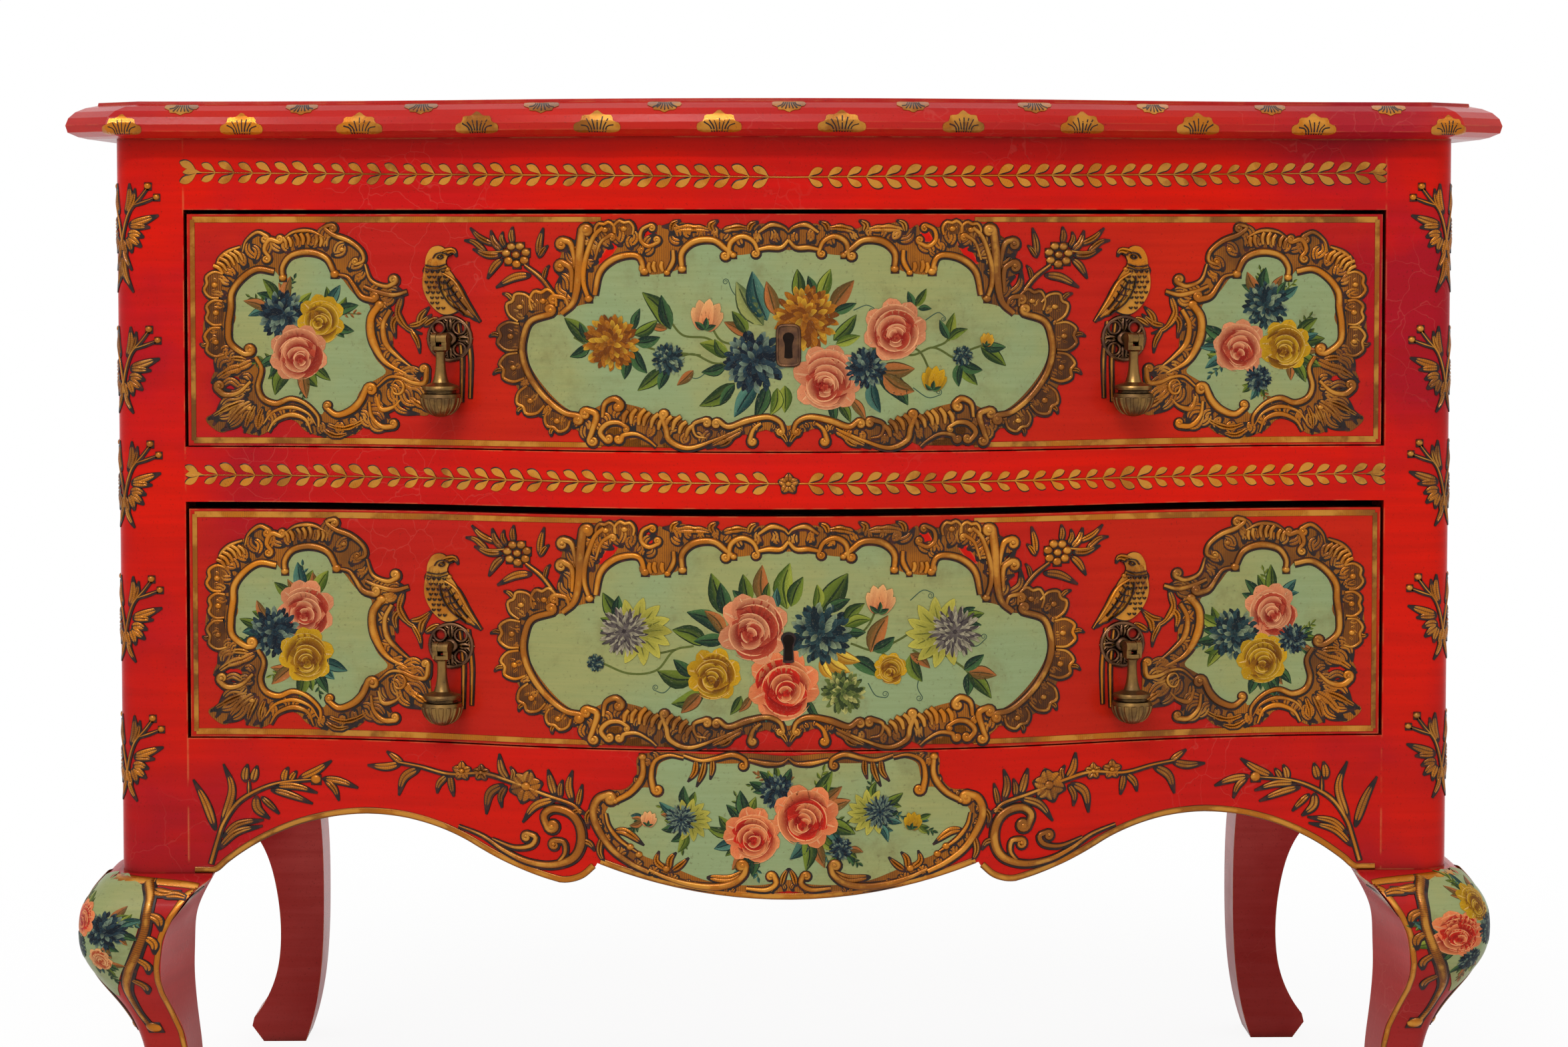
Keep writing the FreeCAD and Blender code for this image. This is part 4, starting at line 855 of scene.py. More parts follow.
    def comb(self, points, length, count, lean=0.0, width=3.4, height=2.2, taper=0.75):
        """A row of short ribs standing off a curve to its left, leaning along it."""
        line = smooth(points)
        ahead = np.gradient(line, axis=0)
        ahead /= np.linalg.norm(ahead, axis=1)[:, None]
        for k in range(count):
            share = (k + 0.5) / count
            at = min(int(share * len(line)), len(line) - 1)
            out = leftwards(ahead[at])
            reach = length * (0.75 + 0.25 * math.sin(math.pi * share)) * draw.uniform(0.9, 1.1)
            lift = out * reach + ahead[at] * lean * reach
            bend = ahead[at] * 0.15 * reach
            self.scroll([line[at], line[at] + lift * 0.55 - bend, line[at] + lift], width, height,
                        ends=(0.6, taper), shade=False)

    def knob_scroll(self, points, width, height=2.8, knobs=(1, 1), **settings):
        """A moulding that ends in round knobs."""
        self.scroll(points, width, height, ends=(0.75, 0.75), **settings)
        for size, (x, z) in zip(knobs, (points[0], points[-1])):
            if size:
                self.bead(x, z, width * 0.62 * size, height * 1.2, shade=True)

    # Painted flowers

    def brush(self, line, half, paint):
        """One layer of paint along a line, with colours for its rows or for one row across it."""
        self.paint_layer += 1
        base = PAINT_HEIGHT + self.paint_layer * PAINT_STEP
        top = sweep(line, half, PETAL, np.full(len(line), PAINT_RISE), base)
        rows, columns = top.shape[:2]
        colours = np.ones((rows, columns, 4))
        colours[..., :3] = paint * draw.uniform(0.82, 1.15)
        drawn = np.zeros((rows, columns, 3))
        drawn[..., 0] = lengths_along(line)[:, None]
        drawn[..., 1] = PETAL[:, 0] * half[:, None]
        drawn[..., 2] = self.paint_layer * 3.7
        self.ribbon("flowers", top, colours, drawn)

    def petal(self, x, z, angle, length, width, inner, outer, bend=0.0, fullness=0.7, blunt=0.45):
        """A petal from its foot and inner colour outwards; a small blunt value rounds its tip."""
        foot, ahead, side = standing(x, z, angle)
        line = smooth([foot, foot + ahead * length * 0.5 + side * bend * length, foot + ahead * length],
                      max(length / 8, PETAL_STEP))
        share = np.linspace(0, 1, len(line))
        half = width / 2 * np.maximum(np.sin(np.pi * share ** fullness) ** blunt, 0.08)
        toward = np.clip(share[:, None] * 0.9 + 0.22 * np.abs(PETAL[:, 0]) ** 2, 0, 1)[..., None]
        self.brush(line, half, np.array(inner[:3]) * (1 - toward) + np.array(outer[:3]) * toward)

    def crescent(self, x, z, radius, start, swing, width, inner, outer):
        """A curved stroke about a centre, with one colour on its inside and one on its outside."""
        turns = np.radians(np.linspace(start, start + swing, STROKE_ROWS))
        line = np.column_stack([x + radius * np.cos(turns), z + radius * np.sin(turns)])
        half = width / 2 * np.maximum(np.sin(np.linspace(0, np.pi, STROKE_ROWS)) ** 0.6, 0.06)
        outside = ((1 - PETAL[:, 0]) / 2)[None, :, None] ** 1.6
        self.brush(line, half, np.array(inner[:3]) * (1 - outside) + np.array(outer[:3]) * outside)

    def stem(self, points, width=1.7, colour=(74, 82, 34)):
        """A painted stem."""
        line = smooth(points, 2.0)
        self.brush(line, np.full(len(line), width / 2), np.array(linear(*colour)[:3]))

    def tendril(self, points, radius):
        """A hair-thin stem that ends in a curl."""
        line = curled(smooth(points), radius, 1.4)
        self.brush(line, np.linspace(0.4, 0.2, len(line)), np.array(linear(46, 70, 56)[:3]))

    def disc(self, x, z, radius, colour):
        """A round dab of one colour, under a flower's petals."""
        along = np.sin(np.linspace(-1.5, 1.5, STROKE_ROWS))
        line = np.column_stack([x + radius * along, np.full(STROKE_ROWS, z)])
        self.brush(line, radius * np.sqrt(1 - along ** 2), np.array(colour[:3]))

    def painted_leaf(self, x, z, angle, length, kind="green"):
        """A pointed leaf, dark on one side of its vein and light on the other."""
        dark, light = (np.array(tone[:3]) for tone in LEAF_TONES[kind])
        foot, ahead, side = standing(x, z, angle)
        bend = side * length * draw.uniform(-0.12, 0.12)
        line = smooth([foot, foot + ahead * length * 0.5 + bend, foot + ahead * length], length / 6)
        share = np.linspace(0, 1, len(line))
        half = length * draw.uniform(0.19, 0.25) * np.maximum(np.sin(np.pi * share ** 0.8) ** 0.85, 0.05)
        lit = np.clip(PETAL[:, 0] * draw.choice((-1, 1)) * 3 + 0.5, 0, 1)[None, :, None]
        self.brush(line, half, dark * (1 - lit) + light * lit)
        self.brush(line[:-1], half[:-1] * 0.1 + 0.05, dark * 0.6)
        self.brush(line + side * half[:, None] * 0.96, half * 0.07 + 0.06, dark * 0.7)

    def leaf_rows(self, rows):
        """Painted leaves from a table: foot, tip and colouring."""
        for x, z, tip_x, tip_z, kind in rows:
            angle = math.degrees(math.atan2(tip_z - z, tip_x - x))
            self.painted_leaf(x, z, angle, math.hypot(tip_x - x, tip_z - z) * 1.08, kind)

    def ring(self, x, z, count, start, offset, length, width, inner, outer, jitter=6.0, squash=1.0):
        """Petals round a centre, each pointing outwards."""
        for k in range(count):
            angle = start + 360 * k / count + draw.uniform(-jitter, jitter)
            turn = math.radians(angle)
            foot_x = x + math.cos(turn) * offset
            foot_z = z + math.sin(turn) * offset * squash
            self.petal(foot_x, foot_z, angle, length * draw.uniform(0.88, 1.1), width, inner, outer,
                       draw.uniform(-0.1, 0.1), 0.6)

    def rose(self, x, z, r, tones):
        """A cabbage rose seen from the side: outer petals, wrapped crescents and a deep heart."""
        deep, mid, pale = tones
        edge = (np.array(pale) + np.array(PETAL_EDGE)) / 2
        turn = draw.uniform(230, 310)
        lean = ray(math.radians(turn)) * 0.26 * r
        centre = np.array([x, z])
        for k in (-3, 3, -2, 2, -1, 1, 0):
            angle = turn + 180 + k * 44 + draw.uniform(-8, 8)
            way = ray(math.radians(angle))
            self.petal(*(centre + way * 0.22 * r), angle, 0.82 * r, 0.78 * r, mid, pale,
                       draw.uniform(-0.1, 0.1), 0.55, 0.34)
            self.petal(*(centre + way * 0.3 * r), angle + 9, 0.66 * r, 0.07 * r, mid, edge, 0.0, 0.7)
        self.disc(*(centre + lean * 0.5), 0.55 * r, mid)
        self.ring(x, z, 9, turn, 0.1 * r, 0.6 * r, 0.44 * r, deep, mid)
        self.disc(*(centre + lean), 0.3 * r, deep)
        for share in (0.72, 0.58, 0.45, 0.32, 0.21, 0.12):
            stray = np.array([draw.uniform(-0.07, 0.07), draw.uniform(-0.07, 0.07)])
            middle = centre + lean * (1 - share) + r * stray
            for part in range(3):
                swing = draw.uniform(95, 150)
                start = turn + (180 if part else 0) - swing / 2 + draw.uniform(-48, 48)
                width = (0.16 + 0.26 * share) * r
                self.crescent(*middle, share * r, start, swing, width, deep, draw.choice((pale, pale, mid)))
                self.crescent(*middle, share * r + width * 0.44, start + 12, swing - 24, 0.04 * r, pale,
                              edge)
        self.ring(*(centre + lean), 5, turn, 0.0, 0.12 * r, 0.1 * r, deep, mid)

    def dahlia(self, x, z, r, tones):
        """A many-petalled dome of small overlapping strokes."""
        deep, mid, pale = tones
        start = draw.uniform(0, 360)
        self.disc(x, z, 0.7 * r, deep)
        for share in (0.7, 0.6, 0.49, 0.38, 0.28, 0.18, 0.08):
            count = int(7 + 20 * share)
            for k in range(count):
                angle = start + 360 * k / count + draw.uniform(-7, 7)
                turn = math.radians(angle)
                outer = (mid, pale, mid, deep)[(k * 5 + count) % 4]
                self.petal(x + math.cos(turn) * share * r, z + math.sin(turn) * share * r,
                           angle + draw.uniform(-14, 14), 0.33 * r, 0.19 * r, deep, outer,
                           draw.uniform(-0.16, 0.16), 0.8, 0.6)
            start += 13
        self.ring(x, z, 5, start, 0.0, 0.16 * r, 0.13 * r, deep, mid)

    def daisy(self, x, z, r, tones):
        """A flower seen from the side: broad petals towards the bouquet and a tufted dome beyond."""
        deep, mid, pale = tones
        facing = 0 if x < 0 else 180
        back = -0.42 * r * math.cos(math.radians(facing))
        for swing in (-112, 112, -80, 80, -50, 50, -22, 22, 0):
            self.petal(x, z, facing + swing, 1.06 * r, 0.42 * r, *DAISY_PETAL, 0.06, 0.75, 0.6)
            self.petal(x, z, facing + swing + 4, 0.8 * r, 0.05 * r, DAISY_PETAL[0], DAISY_PETAL[0])
        self.disc(x + back, z, 0.5 * r, deep)
        for share, length in ((0.42, 0.36), (0.3, 0.34), (0.18, 0.3), (0.06, 0.26)):
            self.ring(x + back, z, int(12 + 22 * share), share * 90, share * r, length * r, 0.11 * r, deep,
                      pale, 9.0)
            self.ring(x + back, z, int(8 + 14 * share), share * 50, share * r, length * r, 0.1 * r, mid,
                      deep, 9.0)

    def tulip(self, x, z, r, tones, angle=80):
        """A half-open bud seen from the side, on a green cup."""
        deep, mid, pale = tones
        turn = math.radians(angle)
        foot = (x - math.cos(turn) * r * 0.7, z - math.sin(turn) * r * 0.7)
        for swing, size in ((-38, 1.2), (38, 1.2), (-20, 1.45), (20, 1.45), (0, 1.5)):
            self.petal(*foot, angle + swing, r * size, r * 0.66, deep if swing else mid, pale)
        for swing in (-60, 0, 60):
            self.painted_leaf(foot[0], foot[1], angle + swing, r * 0.6, "dark")

    def spray(self, x, z, angle, length):
        """A thin stem with small leaves on both sides."""
        foot, ahead, side = standing(x, z, angle)
        bend = side * length * draw.uniform(-0.16, 0.16)
        self.stem([foot, foot + ahead * length * 0.5 + bend, foot + ahead * length], 0.8)
        kind = draw.choice(LEAF_KINDS)
        for k in range(SPRAY_LEAVES):
            share = 0.35 + 0.65 * k / (SPRAY_LEAVES - 1)
            at = foot + ahead * length * share + bend * (1 - abs(2 * share - 1))
            swing = (48 if k % 2 else -48) if k < SPRAY_LEAVES - 1 else 0
            self.painted_leaf(*at, angle + swing, max(length * 0.24, 4.5), kind)

    def flower(self, kind, x, z, size, tones):
        """A flower of one kind, by its colouring's name."""
        getattr(self, kind)(x, z, size * FLOWER_FULLNESS, FLOWER_TONES[tones])

    def bouquet(self, rows):
        """Flowers from a table: kind, across, up, size, colouring and the angles of its leaves."""
        self.paint_layer = 0
        for _, x, z, size, _, angles in rows:
            for k, angle in enumerate(angles):
                turn = math.radians(angle)
                reach = size * 0.7
                foot = (x + math.cos(turn) * reach, z + math.sin(turn) * reach)
                if k % 2:
                    self.spray(*foot, angle + draw.uniform(8, 20), max(size * 1.1, 13.0))
                length = max(size * 1.15, 11.0) * draw.uniform(0.85, 1.15)
                self.painted_leaf(*foot, angle + draw.choice((-34, 34)), length * 0.8,
                                  draw.choice(LEAF_KINDS))
                self.painted_leaf(*foot, angle, length, draw.choice(LEAF_KINDS))
        for row in rows:
            self.flower(*row[:5])

    def finish(self, name, body, stands_for=()):
        """Each finish's shells become one piece that rides on a body; brass may stand for plain nodes."""
        for finish, shells in self.shells.items():
            if shells.count:
                piece = shells.build(f"{name}_{finish}", self.lay, FINISHES[finish])
                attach(piece, body)
                for node in stands_for if finish == "brass" else ():
                    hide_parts(node)


CARTOUCHE_BOLDNESS = 1.22
FIELD_LEAF_SPACING = 8.0
FIELD_LEAF_ROOM = 8.0


def field_leaves(art, ground, field):
    """Small curved leaves that fill a gilt field, fanning out from the ground that it surrounds."""
    inner = smooth(ground, 2.0, closed=True)
    for k, tip in enumerate(smooth(field, FIELD_LEAF_SPACING, closed=True)[:-1]):
        foot = inner[np.argmin(np.linalg.norm(inner - tip, axis=1))]
        way = tip - foot
        reach = np.linalg.norm(way)
        if reach > FIELD_LEAF_ROOM:
            bend = leftwards(way) * draw.uniform(0.1, 0.26) * (1 if k % 2 else -1)
            art.leaf([foot + way * 0.3, foot + way * 0.62 + bend, foot + way * 0.96], min(6.4, reach * 0.4),
                     1.3)


def painted_field(art, ground, field):
    """A green ground within a gilt field that small leaves fill."""
    art.fill("gilding", field, FIELD_HEIGHT, FIELD_PAINT)
    art.fill("ground", ground, GROUND_HEIGHT)
    field_leaves(art, ground, field)


def leaves(art, rows, height=1.6):
    """Gilt leaves from a table: points and width."""
    for points, width in rows:
        art.leaf(points, width, height)


# The drawers' ornament, drawn from the middle of a drawer front

CENTRE_GROUND = [
    (0, 66), (-17, 65), (-44, 62), (-57, 70), (-73, 72), (-81, 66), (-85, 53), (-96, 48), (-114, 47),
    (-120, 58), (-133, 60), (-145, 51), (-153, 37), (-157, 25), (-169, 21), (-183, 14), (-197, 14),
    (-208, 6), (-211, -10), (-208, -26), (-197, -43), (-181, -59), (-167, -65), (-154, -60), (-142, -54),
    (-130, -57), (-118, -60), (-105, -66), (-89, -67), (-79, -74), (-70, -69), (-57, -73), (-44, -71),
    (-22, -67), (-10, -69), (0, -74),
]
CENTRE_FIELD = [
    (0, 82), (-20, 87), (-33, 83), (-55, 83), (-62, 88), (-70, 83), (-86, 88), (-95, 82), (-104, 86),
    (-106, 74), (-114, 68), (-120, 76), (-126, 85), (-139, 90), (-153, 87), (-166, 85), (-168, 70),
    (-178, 76), (-186, 67), (-176, 61), (-176, 56), (-189, 51), (-178, 43), (-176, 36), (-186, 28),
    (-199, 30), (-214, 25), (-224, 14), (-225, -2), (-226, -22), (-219, -44), (-207, -64), (-194, -71),
    (-183, -77), (-163, -78), (-161, -89), (-154, -90), (-149, -80), (-138, -73), (-130, -76), (-124, -80),
    (-108, -90), (-96, -87), (-80, -92), (-58, -89), (-40, -80), (-30, -82), (-24, -76), (-10, -80),
    (0, -84),
]


def mirrored_outline(half):
    """A whole outline from its left half, which starts and ends on the middle line."""
    return half + [(-x, z) for x, z in half[-2:0:-1]]


def centre_half(art):
    """The left half of the middle cartouche's mouldings and shells."""
    art.scroll([(-190, 15), (-207, 9), (-213, -4), (-214, -18), (-209, -34), (-197, -51), (-181, -64),
                (-168, -67)], 5.2, 3.0, ends=(0.8, 0.8), curls=(3.4, -3.2), tone=0.4)
    for x, z, angle, width, depth, tip in ((-196, 19, 100, 20, 15, 0), (-211, 16, 140, 20, 16, 9),
                                           (-217, -4, 177, 21, 17, 8), (-215, -27, 195, 21, 17, 8),
                                           (-203, -51, 222, 21, 16, 6), (-184, -67, 245, 19, 12, 6)):
        art.lobe(x, z, angle, width, depth, tip)
    art.scroll([(-182, 15), (-172, 25), (-168, 45), (-167, 64), (-165, 82)], 7.5, 3.2, ends=(0.5, 0.6),
               curls=(0, -3.4), tone=0.5)
    art.scroll([(-170, 50), (-174, 70), (-181, 74)], 5.0, 2.6, curls=(0, 3.6))
    art.scroll([(-174, 32), (-174, 50), (-181, 56)], 5.0, 2.6, curls=(0, 3.8))
    art.scroll([(-176, 18), (-179, 27), (-188, 29)], 4.4, 2.4, curls=(0, 3.2))
    art.knob_scroll([(-160, 27), (-164, 40), (-163, 56), (-156, 76), (-148, 84)], 4.6, 3.0, knobs=(1.25, 0))
    art.knob_scroll([(-155, 30), (-151, 48), (-141, 58), (-128, 62), (-119, 60), (-115, 49)], 5.0, 3.0,
                    knobs=(0, 1.2))
    art.scroll([(-155, 58), (-150, 72), (-142, 78)], 3.6, 2.4, curls=(0, -2.4))
    art.fill("opening", [(-153, 55), (-146, 67), (-137, 76), (-136, 70), (-141, 62), (-148, 56)],
             OPENING_HEIGHT)
    for x, z, angle in ((-146, 78, 100), (-132, 79, 84)):
        art.lobe(x, z, angle, 15, 10)
    art.scroll([(-104, 72), (-112, 69), (-118, 74), (-117, 82), (-110, 86)], 3.6, 2.4, curls=(2.4, -2.6))
    art.fill("opening", [(-116, 74), (-110, 72), (-105, 78), (-110, 83)], OPENING_HEIGHT)
    art.comb([(-118, 47), (-98, 49)], 9, 4, 0.0, 4.2, 2.4)
    art.knob_scroll([(-97, 48), (-92, 57), (-92, 66)], 4.0, 2.6, knobs=(1.1, 0))
    art.knob_scroll([(-85, 51), (-85, 64), (-75, 73), (-60, 74), (-50, 67), (-44, 62)], 5.2, 3.2,
                    knobs=(1.1, 0.9))
    art.scroll([(-48, 61), (-46, 72), (-37, 77), (-28, 73), (-24, 64)], 4.4, 3.0, curls=(-2.6, -2.6))
    art.scroll([(-26, 66), (-16, 68), (-6, 68), (0, 74)], 4.2, 2.8, ends=(0.6, 0.7))
    art.leaf([(-94, 79), (-86, 83), (-70, 83), (-56, 80)], 8.0, 1.9, 4)
    art.leaf([(-60, 80), (-62, 86), (-56, 90)], 6.0, 2.0)
    art.leaf([(-94, 80), (-92, 87), (-86, 90)], 5.5, 2.0)
    art.leaf([(-54, 81), (-40, 84), (-28, 82)], 7.0, 1.9, 3)
    art.leaf([(-32, 80), (-30, 86), (-24, 89)], 5.5, 2.0)
    art.scroll([(-24, 80), (-14, 86), (-4, 84), (0, 80)], 4.0, 2.4)
    art.scroll([(-162, -62), (-154, -66), (-157, -78), (-160, -86)], 5.4, 3.0, curls=(3.4, 3.4))
    art.scroll([(-146, -87), (-151, -80), (-145, -73), (-136, -72), (-129, -76)], 4.4, 2.6,
               curls=(2.8, -2.0))
    art.scroll([(-134, -86), (-132, -82), (-122, -81), (-112, -86), (-106, -91)], 4.2, 2.4, curls=(-2.4, 0))
    art.scroll([(-149, -68), (-147, -57), (-139, -53), (-134, -57)], 5.2, 3.2, curls=(0, -3.2))
    art.comb([(-134, -72), (-118, -74), (-102, -78)], 13, 6, 0.25, 4.6, 2.8, 0.8)
    art.scroll([(-102, -66), (-98, -76), (-95, -86), (-80, -92), (-58, -85), (-38, -76)], 4.6, 2.8,
               curls=(-2.6, 0), ends=(0.8, 0.3))
    art.comb([(-100, -74), (-88, -80), (-80, -84)], 12, 4, 0.1, 4.6, 2.8, 0.8)
    art.scroll([(-66, -69), (-76, -73), (-74, -82), (-66, -84)], 4.6, 2.8, curls=(-2.8, 0))
    art.scroll([(-56, -70), (-48, -75), (-33, -70), (-17, -67), (-7, -71), (-4, -78)], 5.2, 3.2,
               curls=(3.0, -2.8))
    art.leaf([(-36, -77), (-50, -84), (-66, -92)], 8.0, 2.0, 4)
    art.leaf([(-44, -82), (-50, -88), (-58, -91)], 5.0, 1.8)
    art.scroll([(-22, -72), (-28, -77), (-31, -86)], 4.4, 2.2, curls=(0, 2.4))
    art.leaf([(-12, -76), (-4, -82), (0, -90)], 5.0, 2.0)


def centre_cartouche(art, level):
    """A drawer's middle cartouche: gilt field, green ground, mouldings on both halves and a bouquet."""
    across, up = art.origin
    painted_field(art, mirrored_outline(CENTRE_GROUND), mirrored_outline(CENTRE_FIELD))
    for mirror in (1, -1):
        art.place(across, up, mirror)
        centre_half(art)
    art.place(across, up)
    for route in STEMS[level]:
        art.stem(route)
    for route, radius in TENDRILS[level]:
        art.tendril(route, radius)
    art.leaf_rows(CENTRE_LEAVES[level])
    for row in CENTRE_FLOWERS[level]:
        art.flower(*row)


SIDE_GROUND = [
    (-27, 46), (-20, 55), (-7, 61), (7, 59), (13, 51), (17, 44), (23, 49), (35, 47), (47, 39), (53, 29),
    (55, 17), (54, 9), (59, -3), (55, -10), (47, -18), (38, -22), (33, -30), (35, -38), (37, -49),
    (33, -55), (24, -58), (11, -54), (-1, -58), (-11, -65), (-16, -69), (-21, -64), (-32, -67), (-43, -61),
    (-48, -50), (-56, -43), (-63, -39), (-70, -33), (-61, -22), (-55, -6), (-55, 10), (-57, 20), (-48, 26),
    (-41, 33), (-34, 42),
]
SIDE_FIELD = [
    (-28, 89), (-18, 85), (-14, 79), (-2, 81), (11, 77), (25, 75), (29, 81), (39, 81), (48, 70), (57, 66),
    (67, 60), (67, 49), (78, 43), (81, 31), (76, 22), (80, 8), (81, -4), (79, -18), (71, -24), (60, -18),
    (50, -21), (55, -24), (66, -26), (75, -42), (64, -38), (52, -39), (53, -49), (66, -48), (72, -52),
    (60, -57), (68, -66), (79, -72), (75, -79), (65, -84), (52, -77), (47, -84), (35, -86), (27, -82),
    (18, -74), (6, -74), (-4, -83), (-24, -88), (-43, -85), (-55, -76), (-62, -79), (-78, -79), (-72, -68),
    (-81, -58), (-90, -66), (-105, -68), (-106, -51), (-104, -31), (-98, -43), (-86, -36), (-92, -31),
    (-79, -21), (-76, -9), (-75, 16), (-67, 24), (-62, 31), (-88, 31), (-77, 32), (-80, 39), (-61, 39),
    (-55, 51), (-53, 62), (-48, 70), (-33, 78),
]


SIDE_FULLNESS = 1.18


def side_cartouche(art, rows):
    """The right-hand small cartouche: gilt field, green ground, mouldings, shells and its bouquet."""
    painted_field(art, SIDE_GROUND, SIDE_FIELD)
    art.knob_scroll([(-28, 46), (-21, 59), (-7, 64), (8, 61), (15, 52), (15, 43)], 5.0, 3.0,
                    knobs=(1.25, 1.1))
    art.scroll([(22, 48), (36, 50), (48, 43), (57, 31), (58, 18), (60, 4), (59, -10), (48, -19), (42, -19)],
               5.2, 3.0, ends=(0.8, 0.8), curls=(0, -3.2))
    art.scroll([(38, -22), (33, -32), (36, -46), (32, -56), (21, -60), (9, -56), (-3, -60), (-13, -70),
                (-14, -79)], 4.6, 2.8, ends=(0.7, 0.5))
    art.scroll([(-54, -46), (-49, -57), (-41, -65), (-29, -69), (-20, -63)], 5.6, 3.2, curls=(4.0, 2.4))
    art.scroll([(-65, 21), (-58, 10), (-59, -7), (-69, -25), (-87, -35)], 6.4, 3.2, ends=(0.9, 0.2),
               tone=0.9)
    art.scroll([(-74, 17), (-68, 5), (-70, -10), (-80, -21), (-93, -31)], 4.8, 2.6, ends=(0.7, 0.2))
    art.bead(-65, 21, 4.2, 3.2)
    art.scroll([(-60, 25), (-50, 28), (-43, 38), (-38, 44), (-28, 46)], 5.0, 2.8, curls=(-3.0, 0), tone=0.3)
    art.scroll([(-26, 86), (-20, 84), (-27, 78), (-40, 73), (-50, 65), (-52, 57), (-46, 54)], 4.2, 2.8,
               curls=(3.0, 2.6))
    art.scroll([(-78, 39), (-70, 36), (-58, 41), (-53, 54)], 4.4, 2.6, curls=(-3.0, 0))
    art.scroll([(-88, 32), (-76, 29), (-62, 32), (-52, 36)], 4.4, 2.6, ends=(0.6, 0.6))
    art.bead(-34, 66, 2.6, 2.2)
    art.comb([(-18, 68), (-4, 70), (14, 67)], 10, 7, 0.12, 3.8, 2.6, 0.9)
    art.scroll([(-19, 76), (-8, 81), (6, 80), (16, 73)], 3.4, 2.4)
    art.scroll([(18, 72), (26, 74), (30, 66), (26, 60)], 4.2, 2.6, curls=(-2.6, 3.0))
    art.scroll([(28, 77), (36, 80), (45, 73), (48, 64)], 3.8, 2.4, curls=(3.0, 0))
    art.comb([(46, 58), (56, 52), (64, 46)], 12, 6, 0.2, 3.6, 2.6, 0.9)
    art.scroll([(50, 68), (60, 64), (68, 57), (66, 50)], 3.4, 2.4)
    art.lobe(66, 36, 10, 20, 13)
    art.lobe(65, 14, 2, 19, 13)
    art.lobe(65, -9, -8, 22, 14, 5)
    art.leaf([(38, -24), (50, -30), (62, -34), (75, -43)], 9.0, 2.2, 3)
    art.leaf([(44, -25), (54, -23), (64, -25)], 6.0, 2.0)
    art.scroll([(42, -42), (52, -51), (63, -53), (70, -48)], 5.0, 2.8, curls=(0, 3.4))
    art.leaf([(40, -58), (52, -66), (64, -80)], 9.0, 2.2, 4)
    art.leaf([(44, -58), (58, -62), (78, -73)], 7.0, 2.2, 3)
    art.leaf([(38, -60), (44, -72), (48, -84)], 6.0, 2.0)
    art.leaf([(32, -62), (36, -74), (36, -86)], 5.0, 2.0)
    art.bead(43, -64, 2.8, 2.4)
    art.scroll([(-8, -84), (-3, -73), (9, -69), (22, -74), (28, -83)], 4.4, 2.6, ends=(0.3, 0.4))
    art.scroll([(-12, -78), (-5, -68), (9, -63), (24, -67), (32, -77)], 3.6, 2.2, ends=(0.3, 0.4))
    art.leaf([(-16, -80), (-28, -86), (-42, -83)], 6.0, 2.0, 4)
    art.leaf([(-18, -76), (-34, -80), (-50, -74), (-56, -64)], 6.0, 2.2, 5)
    art.scroll([(-56, -58), (-58, -70), (-66, -78), (-76, -78)], 4.4, 2.6, curls=(0, -2.6))
    art.scroll([(-62, -54), (-66, -64), (-76, -62), (-82, -56)], 4.2, 2.4, ends=(0.5, 0.3))
    art.scroll([(-75, -46), (-77, -51), (-82, -51), (-85, -46), (-82, -41), (-77, -41), (-75, -46)], 3.0,
               2.6)
    art.fill("opening", [(-83, -46), (-80, -43), (-77.5, -46), (-80, -49)], OPENING_HEIGHT)
    art.scroll([(-104, -31), (-102, -42), (-92, -42), (-82, -38), (-72, -38), (-62, -46)], 4.4, 2.6,
               curls=(-2.6, 0))
    art.leaf([(-88, -54), (-98, -60), (-106, -66)], 7.0, 2.0, 3)
    art.leaf([(-84, 30), (-80, 14), (-88, 2), (-100, -2)], 6.4, 2.0, 3)
    art.leaf([(-82, 14), (-76, 6), (-78, -6)], 5.6, 2.0)
    art.leaf([(-88, 4), (-98, 6), (-108, 14)], 5.0, 2.0)
    art.leaf([(-90, 2), (-96, -8), (-98, -18)], 4.6, 2.0)
    art.bouquet([(kind, x * SIDE_FULLNESS, z * SIDE_FULLNESS, size * SIDE_FULLNESS, tones, angles)
                 for kind, x, z, size, tones, angles in rows])


BREAST_EDGE = (-18.2, -18.6, -18.8, -18.6, -17.8, -16.4, -14.2, -11.4)
COLLAR_LINES = [[(-19.6, 60), (-11, 58.6), (-2.4, 60.8)], [(-19.8, 57), (-11, 55.8), (-2.4, 58)]]
FACE_LINES = [[(-13.4, 65.4), (-11, 68.8), (-7, 70), (-3.2, 69.4)], [(-10, 66), (-7.4, 68), (-4.6, 66.4)],
              [(-10, 66), (-7.4, 64.8), (-4.6, 66.4)], [(-2.4, 70), (-1.6, 68), (2.2, 68.6)]]
WING_LINES = [
    [(-9, 50), (-7, 40), (0, 29), (12, 20)], [(-4, 48), (3, 38), (14, 24)], [(-1, 44), (1, 35), (9, 25)],
    [(-6, 45), (-2, 46), (1, 49)], [(-5, 40), (0, 41), (4, 44)], [(-2, 35), (3, 36), (7, 39)],
    [(3, 30), (7, 31), (10, 34)],
]


